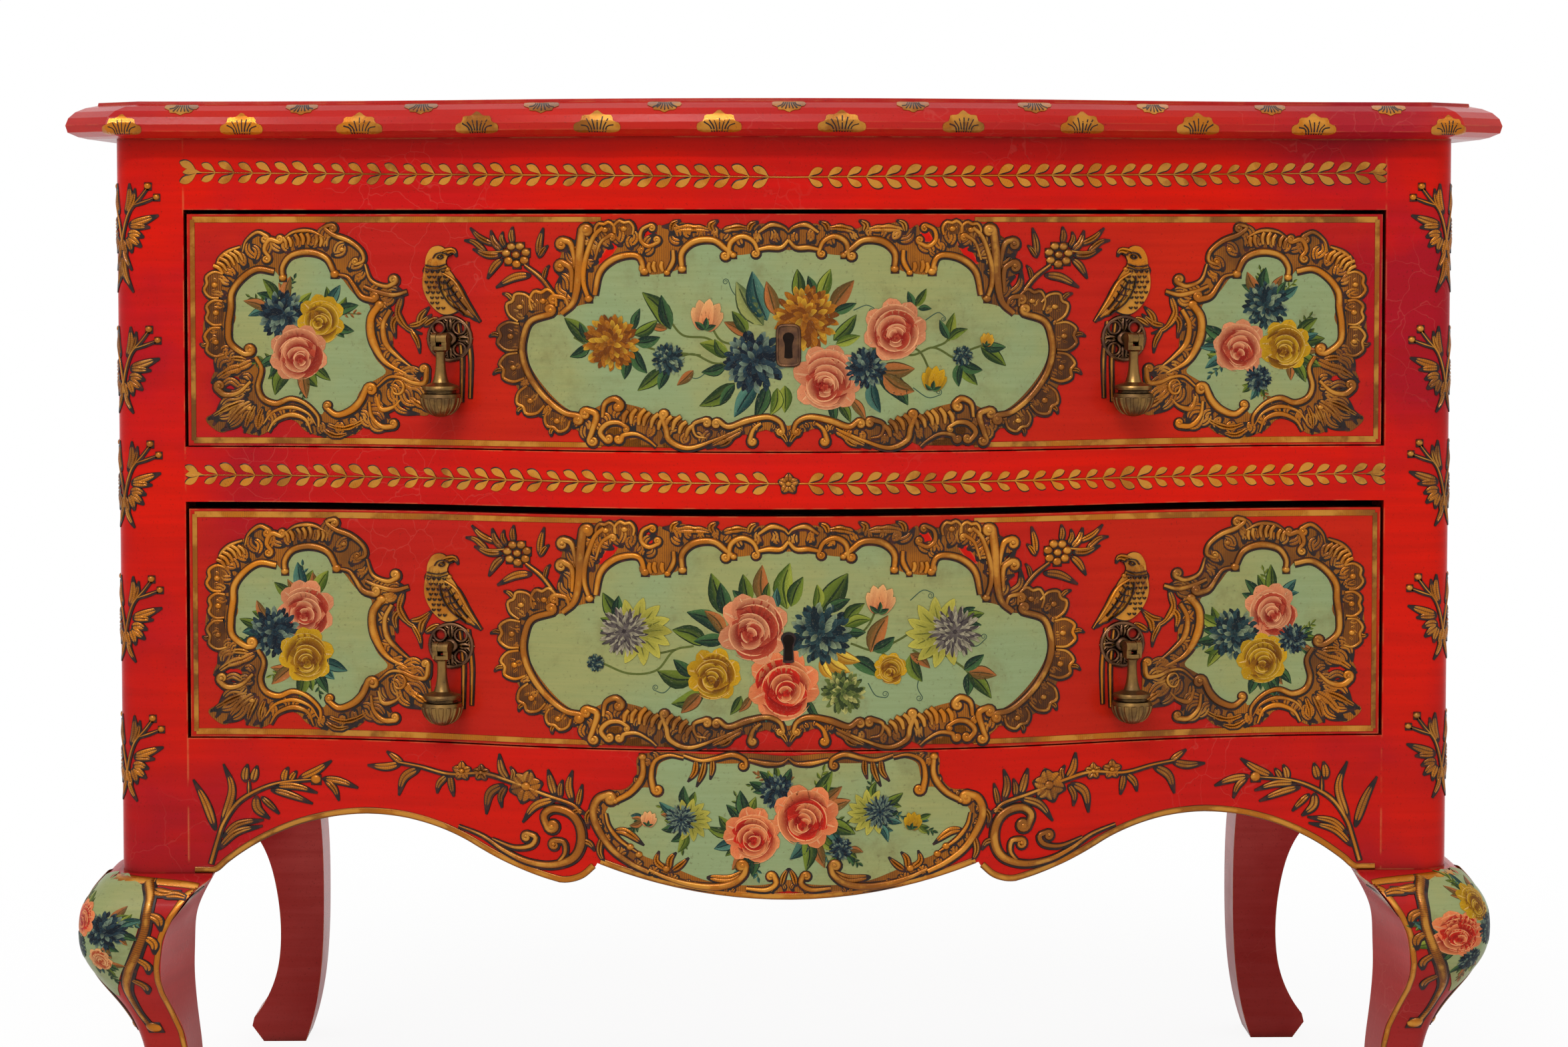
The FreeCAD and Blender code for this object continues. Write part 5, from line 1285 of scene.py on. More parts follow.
def bird(art):
    """A perched bird in profile, facing the middle from the left, drawn about the pull below it."""
    body = [(-9, 75), (-4, 73), (-1, 68), (-3, 62), (-1, 57), (4, 50), (9, 39), (12, 28), (4, 21), (-6, 20),
            (-15, 27), (-21, 38), (-22, 48), (-20, 58), (-19, 66), (-15, 73)]
    art.fill("shade", [(x * 1.04 + 0.6, z * 1.02 - 1.2) for x, z in body], SHADE_HEIGHT)
    art.fill("gilding", body, 1.4, (1.0, 0.0, 0.9, 1))
    art.leaf([(-5, 72), (-13, 62), (-15, 47), (-10, 34), (-2, 22)], 15, 2.2, 7, 0.3, 1.0)
    art.leaf([(-10, 67.5), (-2, 70.5), (3.4, 71.2), (6, 66.5)], 6.4, 2.6, hatch=0.0, tone=1.0)
    art.scroll([(-19.4, 58.6), (-11, 57.2), (-2.6, 59.4)], 1.8, 2.8, shade=False)
    for points in COLLAR_LINES:
        art.stroke(points, 0.4, 2.9)
    for points in FACE_LINES:
        art.stroke(points, 0.45, 3.0)
    art.bead(-7.3, 66.4, 1.0, 3.8)
    for row, edge in enumerate(BREAST_EDGE):
        for column in range(4 - row // 3):
            x = edge + column * 4.3 + row % 2 * 2.1
            z = 54.5 - row * 4.2
            art.stroke([(x - 1.3, z + 0.9), (x, z - 0.9), (x + 1.3, z + 0.9)], 0.36, 2.9)
    art.bead(-1.5, 56, 2.4, 2.6)
    art.leaf([(-9, 52), (-1, 45), (9, 29), (25, 14)], 16, 3.0, 6, 0.3, 1.0)
    art.scroll([(-6, 53.5), (5, 46), (14, 31), (25, 14)], 2.6, 3.4, ends=(0.8, 0.25), tone=1.0)
    for points in WING_LINES:
        art.stroke(points, 0.42, 3.4)
    for sway, drop in ((10, -51), (17, -48)):
        art.scroll([(sway - 3, 14), (sway, -14), (sway, -32), (sway - 0.5, drop)], 2.4, 1.8,
                   ends=(0.8, 0.6))
    art.leaf([(-26, 8), (-24, 18), (-17, 26)], 6.0, 2.0)
    art.leaf([(-22, 10), (-12, 16), (-8, 14)], 5.0, 2.0)


SPRIG_BEADS = 7


def flower_sprig(art):
    """A beaded flower on a leafy stem, drawn about its heart, with the stem running down to the right."""
    art.bead(0, 0, 3.4, 2.8, shade=True)
    for k in range(SPRIG_BEADS):
        turn = math.tau * (k + 0.3) / SPRIG_BEADS
        art.bead(8.2 * math.cos(turn), 7.4 * math.sin(turn), 3.7, 2.6, shade=True)
    art.scroll([(7, -8), (20, -18), (31, -32)], 2.6, 1.8, ends=(0.6, 0.9))
    leaves(art, (
        ([(18, -1), (19, 10), (22, 22)], 5.4), ([(18, -2), (22, 4), (26, 8)], 4.2),
        ([(-3, 9), (-4, 16), (-3, 23)], 5.0), ([(-11, 3), (-18, 10), (-21, 20)], 5.6),
        ([(-9, 6), (-12, 13), (-11, 19)], 4.4), ([(-11, -3), (-18, -9), (-24, -19)], 5.8),
        ([(12, -16), (-2, -18), (-17, -26)], 6.4), ([(-12, 0), (-24, 0), (-36, 5)], 5.0),
        ([(-24, 1), (-34, 10), (-43, 12)], 5.0), ([(-18, 8), (-30, 14), (-38, 22)], 4.8),
        ([(22, -20), (24, -12), (27, -8)], 3.6),
    ), 1.7)
    art.scroll([(-4, 4), (-20, 2), (-34, 4)], 1.8, 1.2, ends=(0.6, 0.4), shade=False)


def drawer_border(art, half_width, half_height):
    """The gilt band round a drawer front, worn and blotched with painted highlight, broken above and below
    the middle cartouche.
    """
    band, inset, gap = 5.2, 4.4, 150
    top, bottom, side = half_height - inset, inset - half_height, half_width - inset
    for mirror in (-1, 1):
        for z in (top, bottom):
            art.scroll([(mirror * gap, z), (mirror * (gap + side) / 2, z), (mirror * side, z)], band, 0.4,
                       ends=(0.8, 1.0), hatch=0.2, tone=0.6, shade=False, profile=FLAT, crest=0.95)
        art.scroll([(mirror * side, bottom), (mirror * side, 0), (mirror * side, top)], band * 0.8, 0.4,
                   ends=(1.0, 1.0), tone=0.2, shade=False, profile=FLAT, crest=0.9)


CENTRE_FLOWERS = {
    "upper": [
        ("dahlia", 14, 12, 22, "orange"), ("dahlia", -27, -23, 21, "ink"), ("rose", 31, -37, 23, "pink"),
        ("dahlia", 62, -28, 14, "ink"), ("rose", 85, 2, 21, "pink"), ("dahlia", -142, -8, 19, "orange"),
        ("tulip", -65, 14, 14, "peach"), ("dahlia", -96, -21, 11, "blue"),
        ("tulip", 117, -37, 11, "yellow"), ("dahlia", 140, -19, 7, "blue"), ("tulip", 160, -6, 6, "orange"),
    ],
    "lower": [
        ("dahlia", 44, -47, 15, "moss"), ("rose", -60, -33, 18, "yellow"), ("rose", -4, -41, 24, "red"),
        ("dahlia", 26, 0, 21, "blue"), ("rose", -28, 4, 24, "pink"), ("rose", 82, -29, 11, "yellow"),
        ("daisy", -121, 1, 22, "cream"), ("daisy", 123, 0, 23, "cream"), ("tulip", 74, 27, 13, "peach"),
        ("dahlia", -155, -25, 6, "blue"),
    ],
}
CENTRE_LEAVES = {
    "upper": [
        (-94, 3, -115, 30, "green"), (-94, 3, -101, 28, "dark"), (-97, 3, -112, 6, "rust"),
        (-48, -19, -69, -9, "lime"), (-48, -19, -58, -6, "green"), (-50, -26, -68, -31, "dark"),
        (-43, -40, -69, -57, "green"), (-43, -41, -54, -56, "dark"), (-33, -2, -50, 8, "rust"),
        (-33, 0, -44, 16, "green"), (-20, 6, -40, 38, "olive"), (-17, 10, -28, 46, "blue"),
        (-10, 14, -17, 39, "rust"), (7, 27, 7, 49, "green"), (20, 27, 16, 44, "dark"),
        (25, 27, 33, 49, "lime"), (34, 18, 51, 40, "rust"), (36, 16, 53, 23, "dark"),
        (36, -6, 53, 13, "green"), (38, -9, 56, -3, "lime"), (-26, -40, -42, -65, "blue"),
        (-17, -42, -26, -67, "dark"), (-3, -42, -3, -62, "lime"), (-9, -44, -14, -64, "lime"),
        (40, -55, 49, -70, "green"), (50, -52, 61, -68, "rust"), (35, -55, 37, -70, "dark"),
        (66, -40, 73, -62, "blue"), (72, -34, 94, -56, "dark"), (72, -30, 99, -29, "rust"),
        (76, -34, 99, -46, "rust"), (129, -7, 133, 14, "lime"), (129, -6, 143, 2, "green"),
        (129, -5, 122, 9, "dark"), (100, 20, 96, 32, "dark"), (102, 21, 110, 34, "green"),
        (104, 19, 114, 19, "dark"), (155, -12, 174, -26, "green"), (157, -11, 174, -12, "dark"),
        (136, -25, 151, -41, "green"), (138, -25, 137, -42, "dark"), (138, -24, 155, -30, "dark"),
        (-124, 2, -119, 18, "dark"), (-123, -2, -106, 9, "green"), (-122, -8, -104, -4, "dark"),
        (-124, -14, -114, -31, "dark"), (-128, -20, -131, -36, "dark"), (-160, -8, -178, 10, "green"),
        (-162, -5, -167, 7, "dark"), (-159, -10, -174, -19, "dark"), (-99, -28, -119, -45, "green"),
        (-96, -29, -103, -44, "dark"), (-76, -30, -88, -41, "rust"),
    ],
    "lower": [
        (-133, 8, -148, 30, "green"), (-133, 8, -136, 28, "dark"), (-136, 6, -150, 11, "green"),
        (-137, 1, -150, 1, "dark"), (-50, 15, -61, 46, "green"), (-49, 15, -54, 39, "dark"),
        (-50, 1, -79, 16, "dark"), (-51, 0, -66, 17, "rust"), (-66, -8, -91, 2, "green"),
        (-50, -4, -74, -6, "dark"), (-76, -37, -103, -31, "green"), (-76, -34, -91, -22, "dark"),
        (-68, -46, -92, -56, "green"), (-70, -48, -85, -63, "rust"), (-32, 24, -36, 46, "green"),
        (-21, 26, -21, 53, "rust"), (-35, 22, -44, 34, "dark"), (-18, 25, -16, 40, "green"),
        (-1, 20, 1, 54, "lime"), (2, 22, 11, 44, "green"), (-8, 22, -9, 36, "blue"),
        (26, 18, 46, 46, "green"), (29, 18, 48, 27, "dark"), (22, 20, 23, 38, "lime"),
        (45, 8, 60, 23, "green"), (45, 6, 65, 11, "lime"), (46, 2, 61, 1, "dark"),
        (66, -15, 79, 12, "rust"), (68, -14, 84, -4, "dark"), (50, -20, 72, -34, "dark"),
        (98, -18, 107, -38, "green"), (98, -17, 113, -28, "rust"), (145, -34, 145, -51, "dark"),
        (145, -33, 163, -53, "green"), (146, -33, 167, -36, "rust"), (142, -31, 157, -20, "dark"),
        (138, 13, 150, 19, "dark"), (140, 9, 157, 14, "green"), (141, 6, 155, 5, "dark"),
        (-38, -50, -46, -64, "green"), (-30, -50, -39, -62, "rust"), (-22, -56, -18, -70, "blue"),
        (16, -54, 24, -67, "dark"), (30, -18, 48, -30, "gold"), (26, -20, 36, -36, "gold"),
        (36, -14, 56, -22, "gold"),
    ],
}
SIDE_BOUQUETS = {
    ("upper", 1): [
        ("dahlia", -3, 17, 14, "blue", (60, 90, 120, 30)), ("rose", -21, -12, 16, "pink", (180, 210, 150)),
        ("rose", 11, -11, 15, "yellow", (10, 40, 330, 300)), ("dahlia", -8, -34, 8, "ink", (250, 290, 220)),
    ],
    ("upper", -1): [
        ("dahlia", 12, 10, 15, "ink", (60, 100, 140, 20)), ("rose", -14, 8, 14, "yellow", (120, 160, 200)),
        ("rose", 2, -16, 17, "pink", (220, 260, 300, 340)),
    ],
    ("lower", 1): [
        ("rose", 2, 8, 16, "pink", (50, 90, 130)), ("dahlia", -24, -8, 15, "blue", (150, 190, 230)),
        ("rose", -4, -26, 15, "yellow", (250, 290, 320)), ("dahlia", 18, -12, 9, "ink", (0, 30, 330)),
    ],
    ("lower", -1): [
        ("rose", -2, 10, 17, "pink", (40, 80, 120)), ("dahlia", 20, -6, 15, "ink", (20, 340, 60, 150)),
        ("rose", -2, -22, 16, "yellow", (200, 240, 280, 320)),
    ],
}
STEMS = {
    "upper": [
        [(-172, -4), (-152, -14), (-128, -8), (-104, -14), (-70, -18)], [(-62, 6), (-54, -6), (-40, -10)],
        [(-90, -20), (-76, -17), (-60, -24), (-45, -24)],
        [(50, -20), (72, -12), (98, -18), (116, -12), (132, -20)], [(95, -10), (106, -16), (114, -32)],
        [(-95, 10), (-84, -2), (-66, -4), (-55, -10)], [(116, -12), (126, -8), (130, -2)],
        [(132, -20), (146, -14), (158, -10)],
    ],
    "lower": [
        [(-150, -25), (-128, -33), (-106, -30), (-92, -14), (-76, -10)],
        [(-120, -10), (-106, -16), (-90, -13)], [(50, -8), (70, -14), (88, -6), (104, 2), (120, -2)],
        [(70, 18), (64, 6), (54, -4)], [(100, -14), (112, -20), (124, -18), (140, -28), (146, -34)],
        [(72, -14), (78, -18), (82, -26)],
    ],
}
TENDRILS = {
    "upper": [
        ([(-60, -26), (-72, -36), (-82, -34)], 2.6), ([(52, 18), (62, 22), (68, 20)], -2.4),
        ([(110, 10), (120, 16), (126, 12)], -2.0), ([(-32, 20), (-44, 32), (-48, 42)], 2.4),
        ([(100, -44), (112, -52), (122, -50)], 2.6),
    ],
    "lower": [
        ([(64, -40), (70, -50), (78, -52)], 2.8), ([(106, -34), (104, -44), (108, -52)], -2.6),
        ([(98, 26), (108, 34), (116, 32)], -2.6), ([(140, -10), (152, -12), (160, -6)], 2.4),
        ([(-92, -40), (-100, -48), (-108, -46)], -2.4),
    ],
}


KEYHOLE = [(0, 10.5), (-3.4, 9.2), (-4.6, 6), (-3.6, 3), (-2.9, 0), (-3.2, -8), (-3.0, -10), (0, -10.3),
           (3.0, -10), (3.2, -8), (2.9, 0), (3.6, 3), (4.6, 6), (3.4, 9.2)]
KEYHOLE_RISE = {"upper": -10, "lower": -11}
PLATE = [(0, 16), (-6.5, 15.4), (-8.6, 12), (-8.8, 0), (-8.6, -12), (-6.5, -15.4), (0, -16), (6.5, -15.4),
         (8.6, -12), (8.8, 0), (8.6, 12), (6.5, 15.4)]


def keyhole(art, plated):
    """A keyhole whose hole is a patch of painted shade, in a brass plate with a raised edge or in worn
    paint.
    """
    art.fill("brass" if plated else "shade", PLATE if plated else [(x * 1.35, z * 1.2) for x, z in KEYHOLE],
             PLATE_HEIGHT)
    art.fill("hole", KEYHOLE, PLATE_HEIGHT + 0.15)
    if plated:
        art.metal = "brass"
        art.scroll(PLATE[3:] + PLATE[:4], 3.0, 2.7, ends=(1.0, 1.0), shade=False)
        art.metal = "gilding"


ROSETTE_RIM = 17.4
ROSETTE_TIP = 19.6
PIERCING_REACH = 12.2
PIERCING_RADIUS = 5.0


def rosette(art):
    """A pierced brass rosette: a boss, a thin rim, four shells and a scroll round each of four openings."""
    turns = np.linspace(0, math.tau, 25)
    art.scroll([ROSETTE_RIM * ray(a) for a in turns], 3.6, 2.4, ends=(1.0, 1.0), shade=False)
    for quarter in range(4):
        turn = math.tau * quarter / 4
        way = ray(turn)
        art.leaf([way * 5, way * 13, way * ROSETTE_TIP], 7.6, 3.4, 3, shade=False)
        for swing in (-0.27, 0.27):
            tip = ray(turn + swing)
            art.leaf([way * 12, tip * 16, tip * 19.4], 4.4, 3.0, shade=False)
        middle = ray(turn + math.tau / 8) * PIERCING_REACH
        loop = [middle + PIERCING_RADIUS * ray(a) for a in turns[::2]]
        art.scroll(loop, 2.6, 3.2, ends=(1.0, 1.0), shade=False)
    art.bead(0, 0, 6.6, 5.4)


def around(node, radius):
    """A lay round a hanging drop's cup: across is measured along its girth."""
    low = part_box(node)[0]
    tree = node_tree(node)
    feet = [v.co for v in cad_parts[node].data.vertices if v.co.z < low.z + radius]
    axis = Vector((sum(v.x for v in feet), sum(v.y for v in feet), 0)) / len(feet)

    def lay(flat):
        placed = []
        for across, up, out in flat * MM:
            way = Vector((math.sin(across / radius), -math.cos(across / radius), 0))
            start = axis + Vector((0, 0, low.z + up)) + way * 0.2
            hit, normal = tree.ray_cast(start, -way)[:2]
            if hit is None:
                hit, normal = tree.find_nearest(axis + Vector((0, 0, low.z)))[:2]
            placed.append(hit + normal * out)
        return np.array(placed)

    return lay


CUP_RADIUS = 0.0163
FLUTES = 16
FLUTE_HEIGHTS = (15.6, 10, 5, 2.2)


def flute_drops():
    """Raised ribs round the cup of each brass drop."""
    for level in DRAWERS:
        for _, side in SIDES:
            node = f"{level}_{side}_drop"
            art = Ornament(around(node, CUP_RADIUS))
            art.metal = "bright_brass"
            for k in range(FLUTES):
                across = math.tau * CUP_RADIUS / MM * k / FLUTES
                line = [(across, up) for up in FLUTE_HEIGHTS]
                art.scroll(line, 4.4, 0.9, ends=(1.0, 0.35), shade=False)
            art.finish(f"{node}_ribs", node)


# Places on the drawers, in millimetres from the middle of each front
SIDE_X = 397
PULL_X = 274
PULL_RISE = {"upper": -6, "lower": -15}
SPRIG_X = 219
SPRIG_RISE = 62


def decorate_drawer(level):
    """All that is raised and painted on a drawer's front: the middle, its border, then the two sides."""
    low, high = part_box(f"{level}_drawer_front")
    up = (low.z + high.z) / 2 / MM
    middle = Ornament(on_drawer)
    middle.place(0, up)
    drawer_border(middle, high.x / MM, (high.z - low.z) / 2 / MM)
    middle.boldness = CARTOUCHE_BOLDNESS
    centre_cartouche(middle, level)
    middle.boldness = 1.0
    middle.place(0, up + KEYHOLE_RISE[level])
    keyhole(middle, level == "upper")
    middle.finish(f"{level}_drawer_middle", f"{level}_drawer", ["upper_keyhole_escutcheon"])
    sides = Ornament(on_drawer)
    for side in (-1, 1):
        sides.boldness = CARTOUCHE_BOLDNESS
        sides.place(side * SIDE_X, up, side)
        side_cartouche(sides, SIDE_BOUQUETS[level, side])
        sides.place(side * PULL_X, up + PULL_RISE[level], -side)
        bird(sides)
        sides.place(side * SPRIG_X, up + SPRIG_RISE, -side)
        flower_sprig(sides)
        sides.boldness = 1.0
        sides.metal = "brass"
        sides.place(side * PULL_X, up + PULL_RISE[level], side)
        rosette(sides)
        sides.metal = "gilding"
    sides.finish(f"{level}_drawer_sides", f"{level}_drawer", [f"{level}_pull_rosettes"])


# The case's ornament, drawn in millimetres from the middle of the case and the floor

FAR_OFF = 2
NEAR_BY = 0.4


def cast_on(node, towards):
    """A lay that presses flat ornament on to a piece of the frame, looking along a level direction."""
    tree = node_tree(node)
    ahead = Vector(towards).normalized()
    aside = ahead.cross(Vector((0, 0, 1)))

    def lay(flat):
        placed = []
        for across, up, out in flat * MM:
            start = aside * across + Vector((0, 0, up))
            hit, normal = tree.ray_cast(start - ahead * FAR_OFF, ahead)[:2]
            if hit is None:
                hit, normal = tree.find_nearest(start - ahead * NEAR_BY)[:2]
            placed.append(hit + normal * out)
        return np.array(placed)

    return lay


def on_post(side):
    """A lay round a front post, from the middle of its rounded corner."""
    half_arc = POST_ROUNDING * math.pi / 4

    def lay(flat):
        across, up, out = flat.T * MM
        along = across * side
        turn = np.clip(along + half_arc, 0, 2 * half_arc) / POST_ROUNDING
        reach = POST_ROUNDING + out
        x = HALF_CASE - POST_ROUNDING + reach * np.sin(turn) + np.minimum(along + half_arc, 0)
        y = POST_FRONT + POST_ROUNDING - reach * np.cos(turn) + np.maximum(along - half_arc, 0)
        return np.column_stack([side * x, y, up])

    return lay


POST_SPRIG_HEIGHTS = (755, 638, 544, 433, 318)


def post_sprig(art, tail):
    """Half of a gilt sprig on a post's corner, over one face: berries, a bud, leaves and petals."""
    art.scroll([(1, -16), (-2, 0), (-8, 16), (-17, 27), (-23, 35)], 2.0, 1.4, ends=(0.9, 0.6))
    art.scroll([(-12, 21), (-21, 24), (-29, 27)], 1.7, 1.4)
    art.bead(-23.5, 36.5, 3.1, 2.8, shade=True)
    art.bead(-30.5, 27.5, 2.9, 2.6, shade=True)
    leaves(art, (
        ([(-4, 14), (-8, 24), (-8, 39)], 6.5), ([(-5, 14), (-11, 24), (-13, 35)], 5.0),
        ([(-7, 5), (-18, 8), (-32, 13)], 7.0), ([(-7, 4), (-15, 4), (-25, 3)], 5.8),
        ([(-6, -3), (-12, -2), (-20, -5)], 7.0), ([(-6, -4), (-12, -8), (-18, -13)], 7.0),
        ([(-5, -5), (-8, -11), (-10, -18)], 6.4), ([(0, -6), (-3, -14), (-5, -22)], 5.8),
        ([(-1, -14), (-5, -24), (-10, -32)], 4.6),
    ))
    if tail:
        leaves(art, (([(-1, -18), (-4, -36), (-11, -50)], 5.4), ([(0, -20), (-1, -34), (-4, -42)], 4.6)))


def decorate_posts():
    """The gilt sprigs down both front posts."""
    for side, name in SIDES:
        art = Ornament(on_post(side))
        for k, up in enumerate(POST_SPRIG_HEIGHTS):
            for face in (-1, 1):
                art.place(0, up, side * face)
                post_sprig(art, k == 0)
        art.finish(f"{name}_post", "carcass")


def apron_corner(art):
    """The left corner's sprig of grasses and tulips."""
    art.scroll([(-475, 234), (-469, 254), (-464, 268), (-452, 285), (-434, 296), (-415, 302), (-388, 305)],
               2.6, 1.6, ends=(1.0, 0.4))
    leaves(art, (
        ([(-471, 262), (-479, 285), (-489, 304)], 7.0), ([(-466, 266), (-457, 295), (-464, 317)], 7.0),
        ([(-402, 305), (-387, 312), (-374, 321)], 6.4), ([(-382, 306), (-367, 304), (-352, 299)], 6.0),
        ([(-380, 305), (-372, 298), (-368, 288)], 5.4), ([(-422, 299), (-404, 299), (-386, 294)], 5.8),
        ([(-425, 296), (-409, 292), (-390, 285)], 5.8), ([(-437, 291), (-436, 280), (-426, 272)], 7.4),
        ([(-433, 290), (-425, 283), (-418, 276)], 5.0), ([(-465, 256), (-452, 267), (-431, 271)], 5.8),
        ([(-469, 246), (-454, 260), (-432, 266)], 5.8), ([(-446, 302), (-446, 309), (-444, 317)], 6.6),
        ([(-440, 302), (-438, 309), (-436, 316)], 6.6), ([(-414, 302), (-413, 309), (-410, 315)], 6.0),
        ([(-409, 303), (-406, 308), (-403, 312)], 5.0),
    ))
    art.scroll([(-443, 291), (-443, 303)], 1.8, 1.4)
    art.bead(-387, 305, 4.4, 2.6, shade=True)


SPRAY_PETALS = 6


def blossom(art, x, z, r, petals):
    """A round gilt flower of broad petals with a bead at its heart."""
    for k in range(petals):
        turn = math.tau * (k + 0.25) / petals
        out = ray(turn) * r
        centre = np.array([x, z])
        art.leaf([centre + out * 0.15, centre + out * 0.6, centre + out], r * 0.86, 1.9)
    art.bead(x, z, r * 0.28, 2.8)


def apron_spray(art):
    """The left flowering branch between the corner and the C-scroll."""
    art.scroll([(-318, 321), (-299, 318), (-275, 313), (-248, 315), (-226, 310), (-196, 300), (-174, 293),
                (-167, 286)], 2.4, 1.6, ends=(0.6, 1.0))
    leaves(art, (
        ([(-316, 320), (-329, 317), (-344, 318)], 6.4), ([(-314, 320), (-321, 325), (-328, 330)], 5.4),
        ([(-300, 317), (-313, 309), (-318, 294)], 7.0), ([(-277, 312), (-284, 305), (-286, 297)], 5.4),
        ([(-275, 312), (-274, 304), (-272, 295)], 5.4), ([(-226, 310), (-232, 319), (-234, 332)], 6.4),
        ([(-224, 309), (-222, 316), (-225, 322)], 4.6), ([(-230, 307), (-242, 299), (-245, 282)], 7.0),
        ([(-228, 306), (-233, 297), (-232, 288)], 5.0), ([(-188, 299), (-191, 309), (-194, 321)], 6.4),
        ([(-184, 298), (-184, 306), (-182, 313)], 5.0), ([(-174, 295), (-177, 308), (-174, 321)], 6.0),
        ([(-170, 291), (-168, 301), (-166, 310)], 4.6), ([(-187, 297), (-204, 291), (-215, 277)], 6.6),
    ))
    blossom(art, -265, 316, 8.4, 5)
    blossom(art, -249, 315.5, 7.2, 5)
    blossom(art, -212, 306, 14.5, SPRAY_PETALS)


def apron_scroll(art):
    """The left C-scroll beside the apron's middle cartouche."""
    art.scroll([(-194, 273), (-197, 283), (-189, 289), (-176, 286), (-168, 276), (-167, 261), (-174, 249),
                (-191, 243), (-211, 245), (-230, 253), (-248, 264), (-268, 271)], 6.4, 3.0, ends=(0.7, 0.2),
               curls=(4.0, 0))
    art.scroll([(-186, 245), (-180, 253), (-181, 262), (-189, 263)], 4.2, 2.4, curls=(0, 3.4))
    art.scroll([(-240, 262), (-222, 256), (-208, 258), (-204, 265), (-211, 268)], 4.0, 2.4, ends=(0.3, 0.8),
               curls=(0, 3.0))
    leaves(art, (([(-176, 284), (-170, 288), (-163, 286)], 5.0),
                 ([(-168, 264), (-160, 262), (-156, 256)], 5.0)))


APRON_GROUND = [
    (0, 328), (-32, 329), (-60, 329), (-84, 333), (-102, 329), (-106, 318), (-108, 309), (-118, 308),
    (-128, 299), (-140, 296), (-147, 287), (-144, 277), (-136, 269), (-124, 260), (-116, 253), (-98, 247),
    (-82, 240), (-65, 234), (-45, 231), (-20, 231), (0, 235),
]
APRON_FIELD = [
    (0, 335), (-32, 337), (-60, 336), (-84, 337), (-108, 337), (-121, 333), (-122, 318), (-131, 307),
    (-146, 305), (-158, 297), (-160, 284), (-154, 268), (-141, 252), (-124, 242), (-100, 232), (-72, 226),
    (-45, 223), (-20, 223), (0, 226),
]
APRON_BOUQUET = [
    ("dahlia", -9, 306, 12, "ink", (60, 130, 95, 160)),
    ("rose", -29, 271, 19, "red", (200, 240, 170, 270, 130, 105)),
    ("rose", 14, 286, 22, "red", (20, 60, 320, 290, 40, 340, 270)),
    ("daisy", -79, 283, 14, "ink", (100, 150, 200, 250)), ("daisy", 66, 289, 15, "ink", (30, 80, 300, 340)),
    ("tulip", 100, 281, 8, "yellow", (20, 320)), ("tulip", -112, 283, 7, "peach", (170, 200)),
    ("dahlia", 42, 260, 8, "ink", (250, 310, 350)),
]


def apron_half(art):
    """The left half of the mouldings round the apron's middle cartouche."""
    art.scroll([(-144, 302), (-153, 298), (-157, 287), (-153, 274), (-142, 258), (-127, 247), (-112, 240)],
               6.0, 3.0, ends=(0.9, 0.6), curls=(-3.4, 0))
    art.scroll([(-147, 287), (-144, 276), (-135, 265), (-120, 255)], 3.4, 2.4)
    art.knob_scroll([(-117, 333), (-117, 318), (-126, 305), (-139, 297)], 5.0, 3.0, knobs=(1.1, 0.9))
    art.scroll([(-108, 306), (-110, 318), (-107, 330), (-96, 335), (-84, 333)], 4.6, 2.8, curls=(3.0, 0))
    art.scroll([(-84, 335), (-70, 331), (-58, 333), (-45, 336), (-35, 332), (-34, 327)], 4.0, 2.6,
               curls=(0, -2.6))
    art.scroll([(-32, 332), (-18, 329), (-6, 329), (0, 333)], 4.0, 2.6)
    art.scroll([(-112, 242), (-98, 236), (-80, 231), (-60, 229), (-45, 232), (-36, 239), (-34, 246)], 5.4,
               3.0, ends=(0.5, 0.8), curls=(0, 3.4))
    art.scroll([(-34, 228), (-18, 227), (-10, 232), (-12, 239)], 4.4, 2.8, curls=(0, 2.6))
    leaves(art, (
        ([(-141, 273), (-130, 272), (-116, 262)], 7.0), ([(-74, 332), (-75, 322), (-81, 314)], 5.4),
        ([(-67, 332), (-69, 321), (-74, 310)], 5.4), ([(-61, 333), (-61, 324), (-63, 316)], 4.8),
        ([(-98, 242), (-106, 249), (-104, 258)], 5.8), ([(-96, 242), (-95, 251), (-90, 257)], 5.8),
        ([(-94, 241), (-86, 247), (-80, 253)], 5.4), ([(-66, 237), (-47, 236), (-30, 246)], 7.4),
        ([(-6, 230), (-4, 238), (0, 245)], 5.0), ([(-150, 268), (-152, 256), (-148, 246)], 5.4),
        ([(-155, 292), (-162, 284), (-161, 274)], 5.0),
    ), 2.0)
    for x, z in ((-127, 260), (-120, 254), (-98, 243)):
        art.bead(x, z, 3.2, 3.0)


def lower_edge(tree, across):
    """How high the apron's sawn edge stands at a distance across, in millimetres."""
    back, _ = serpentine(np.array([across * MM]))
    hit = tree.ray_cast(Vector((across * MM, back[0] + 0.004, 0)), Vector((0, 0, 1)))[0]
    return hit.z / MM


EDGE_BAND = 5.4
EDGE_POINTS = 40
EDGE_RUNS = ((-488, -157), (-151, 151), (157, 488))


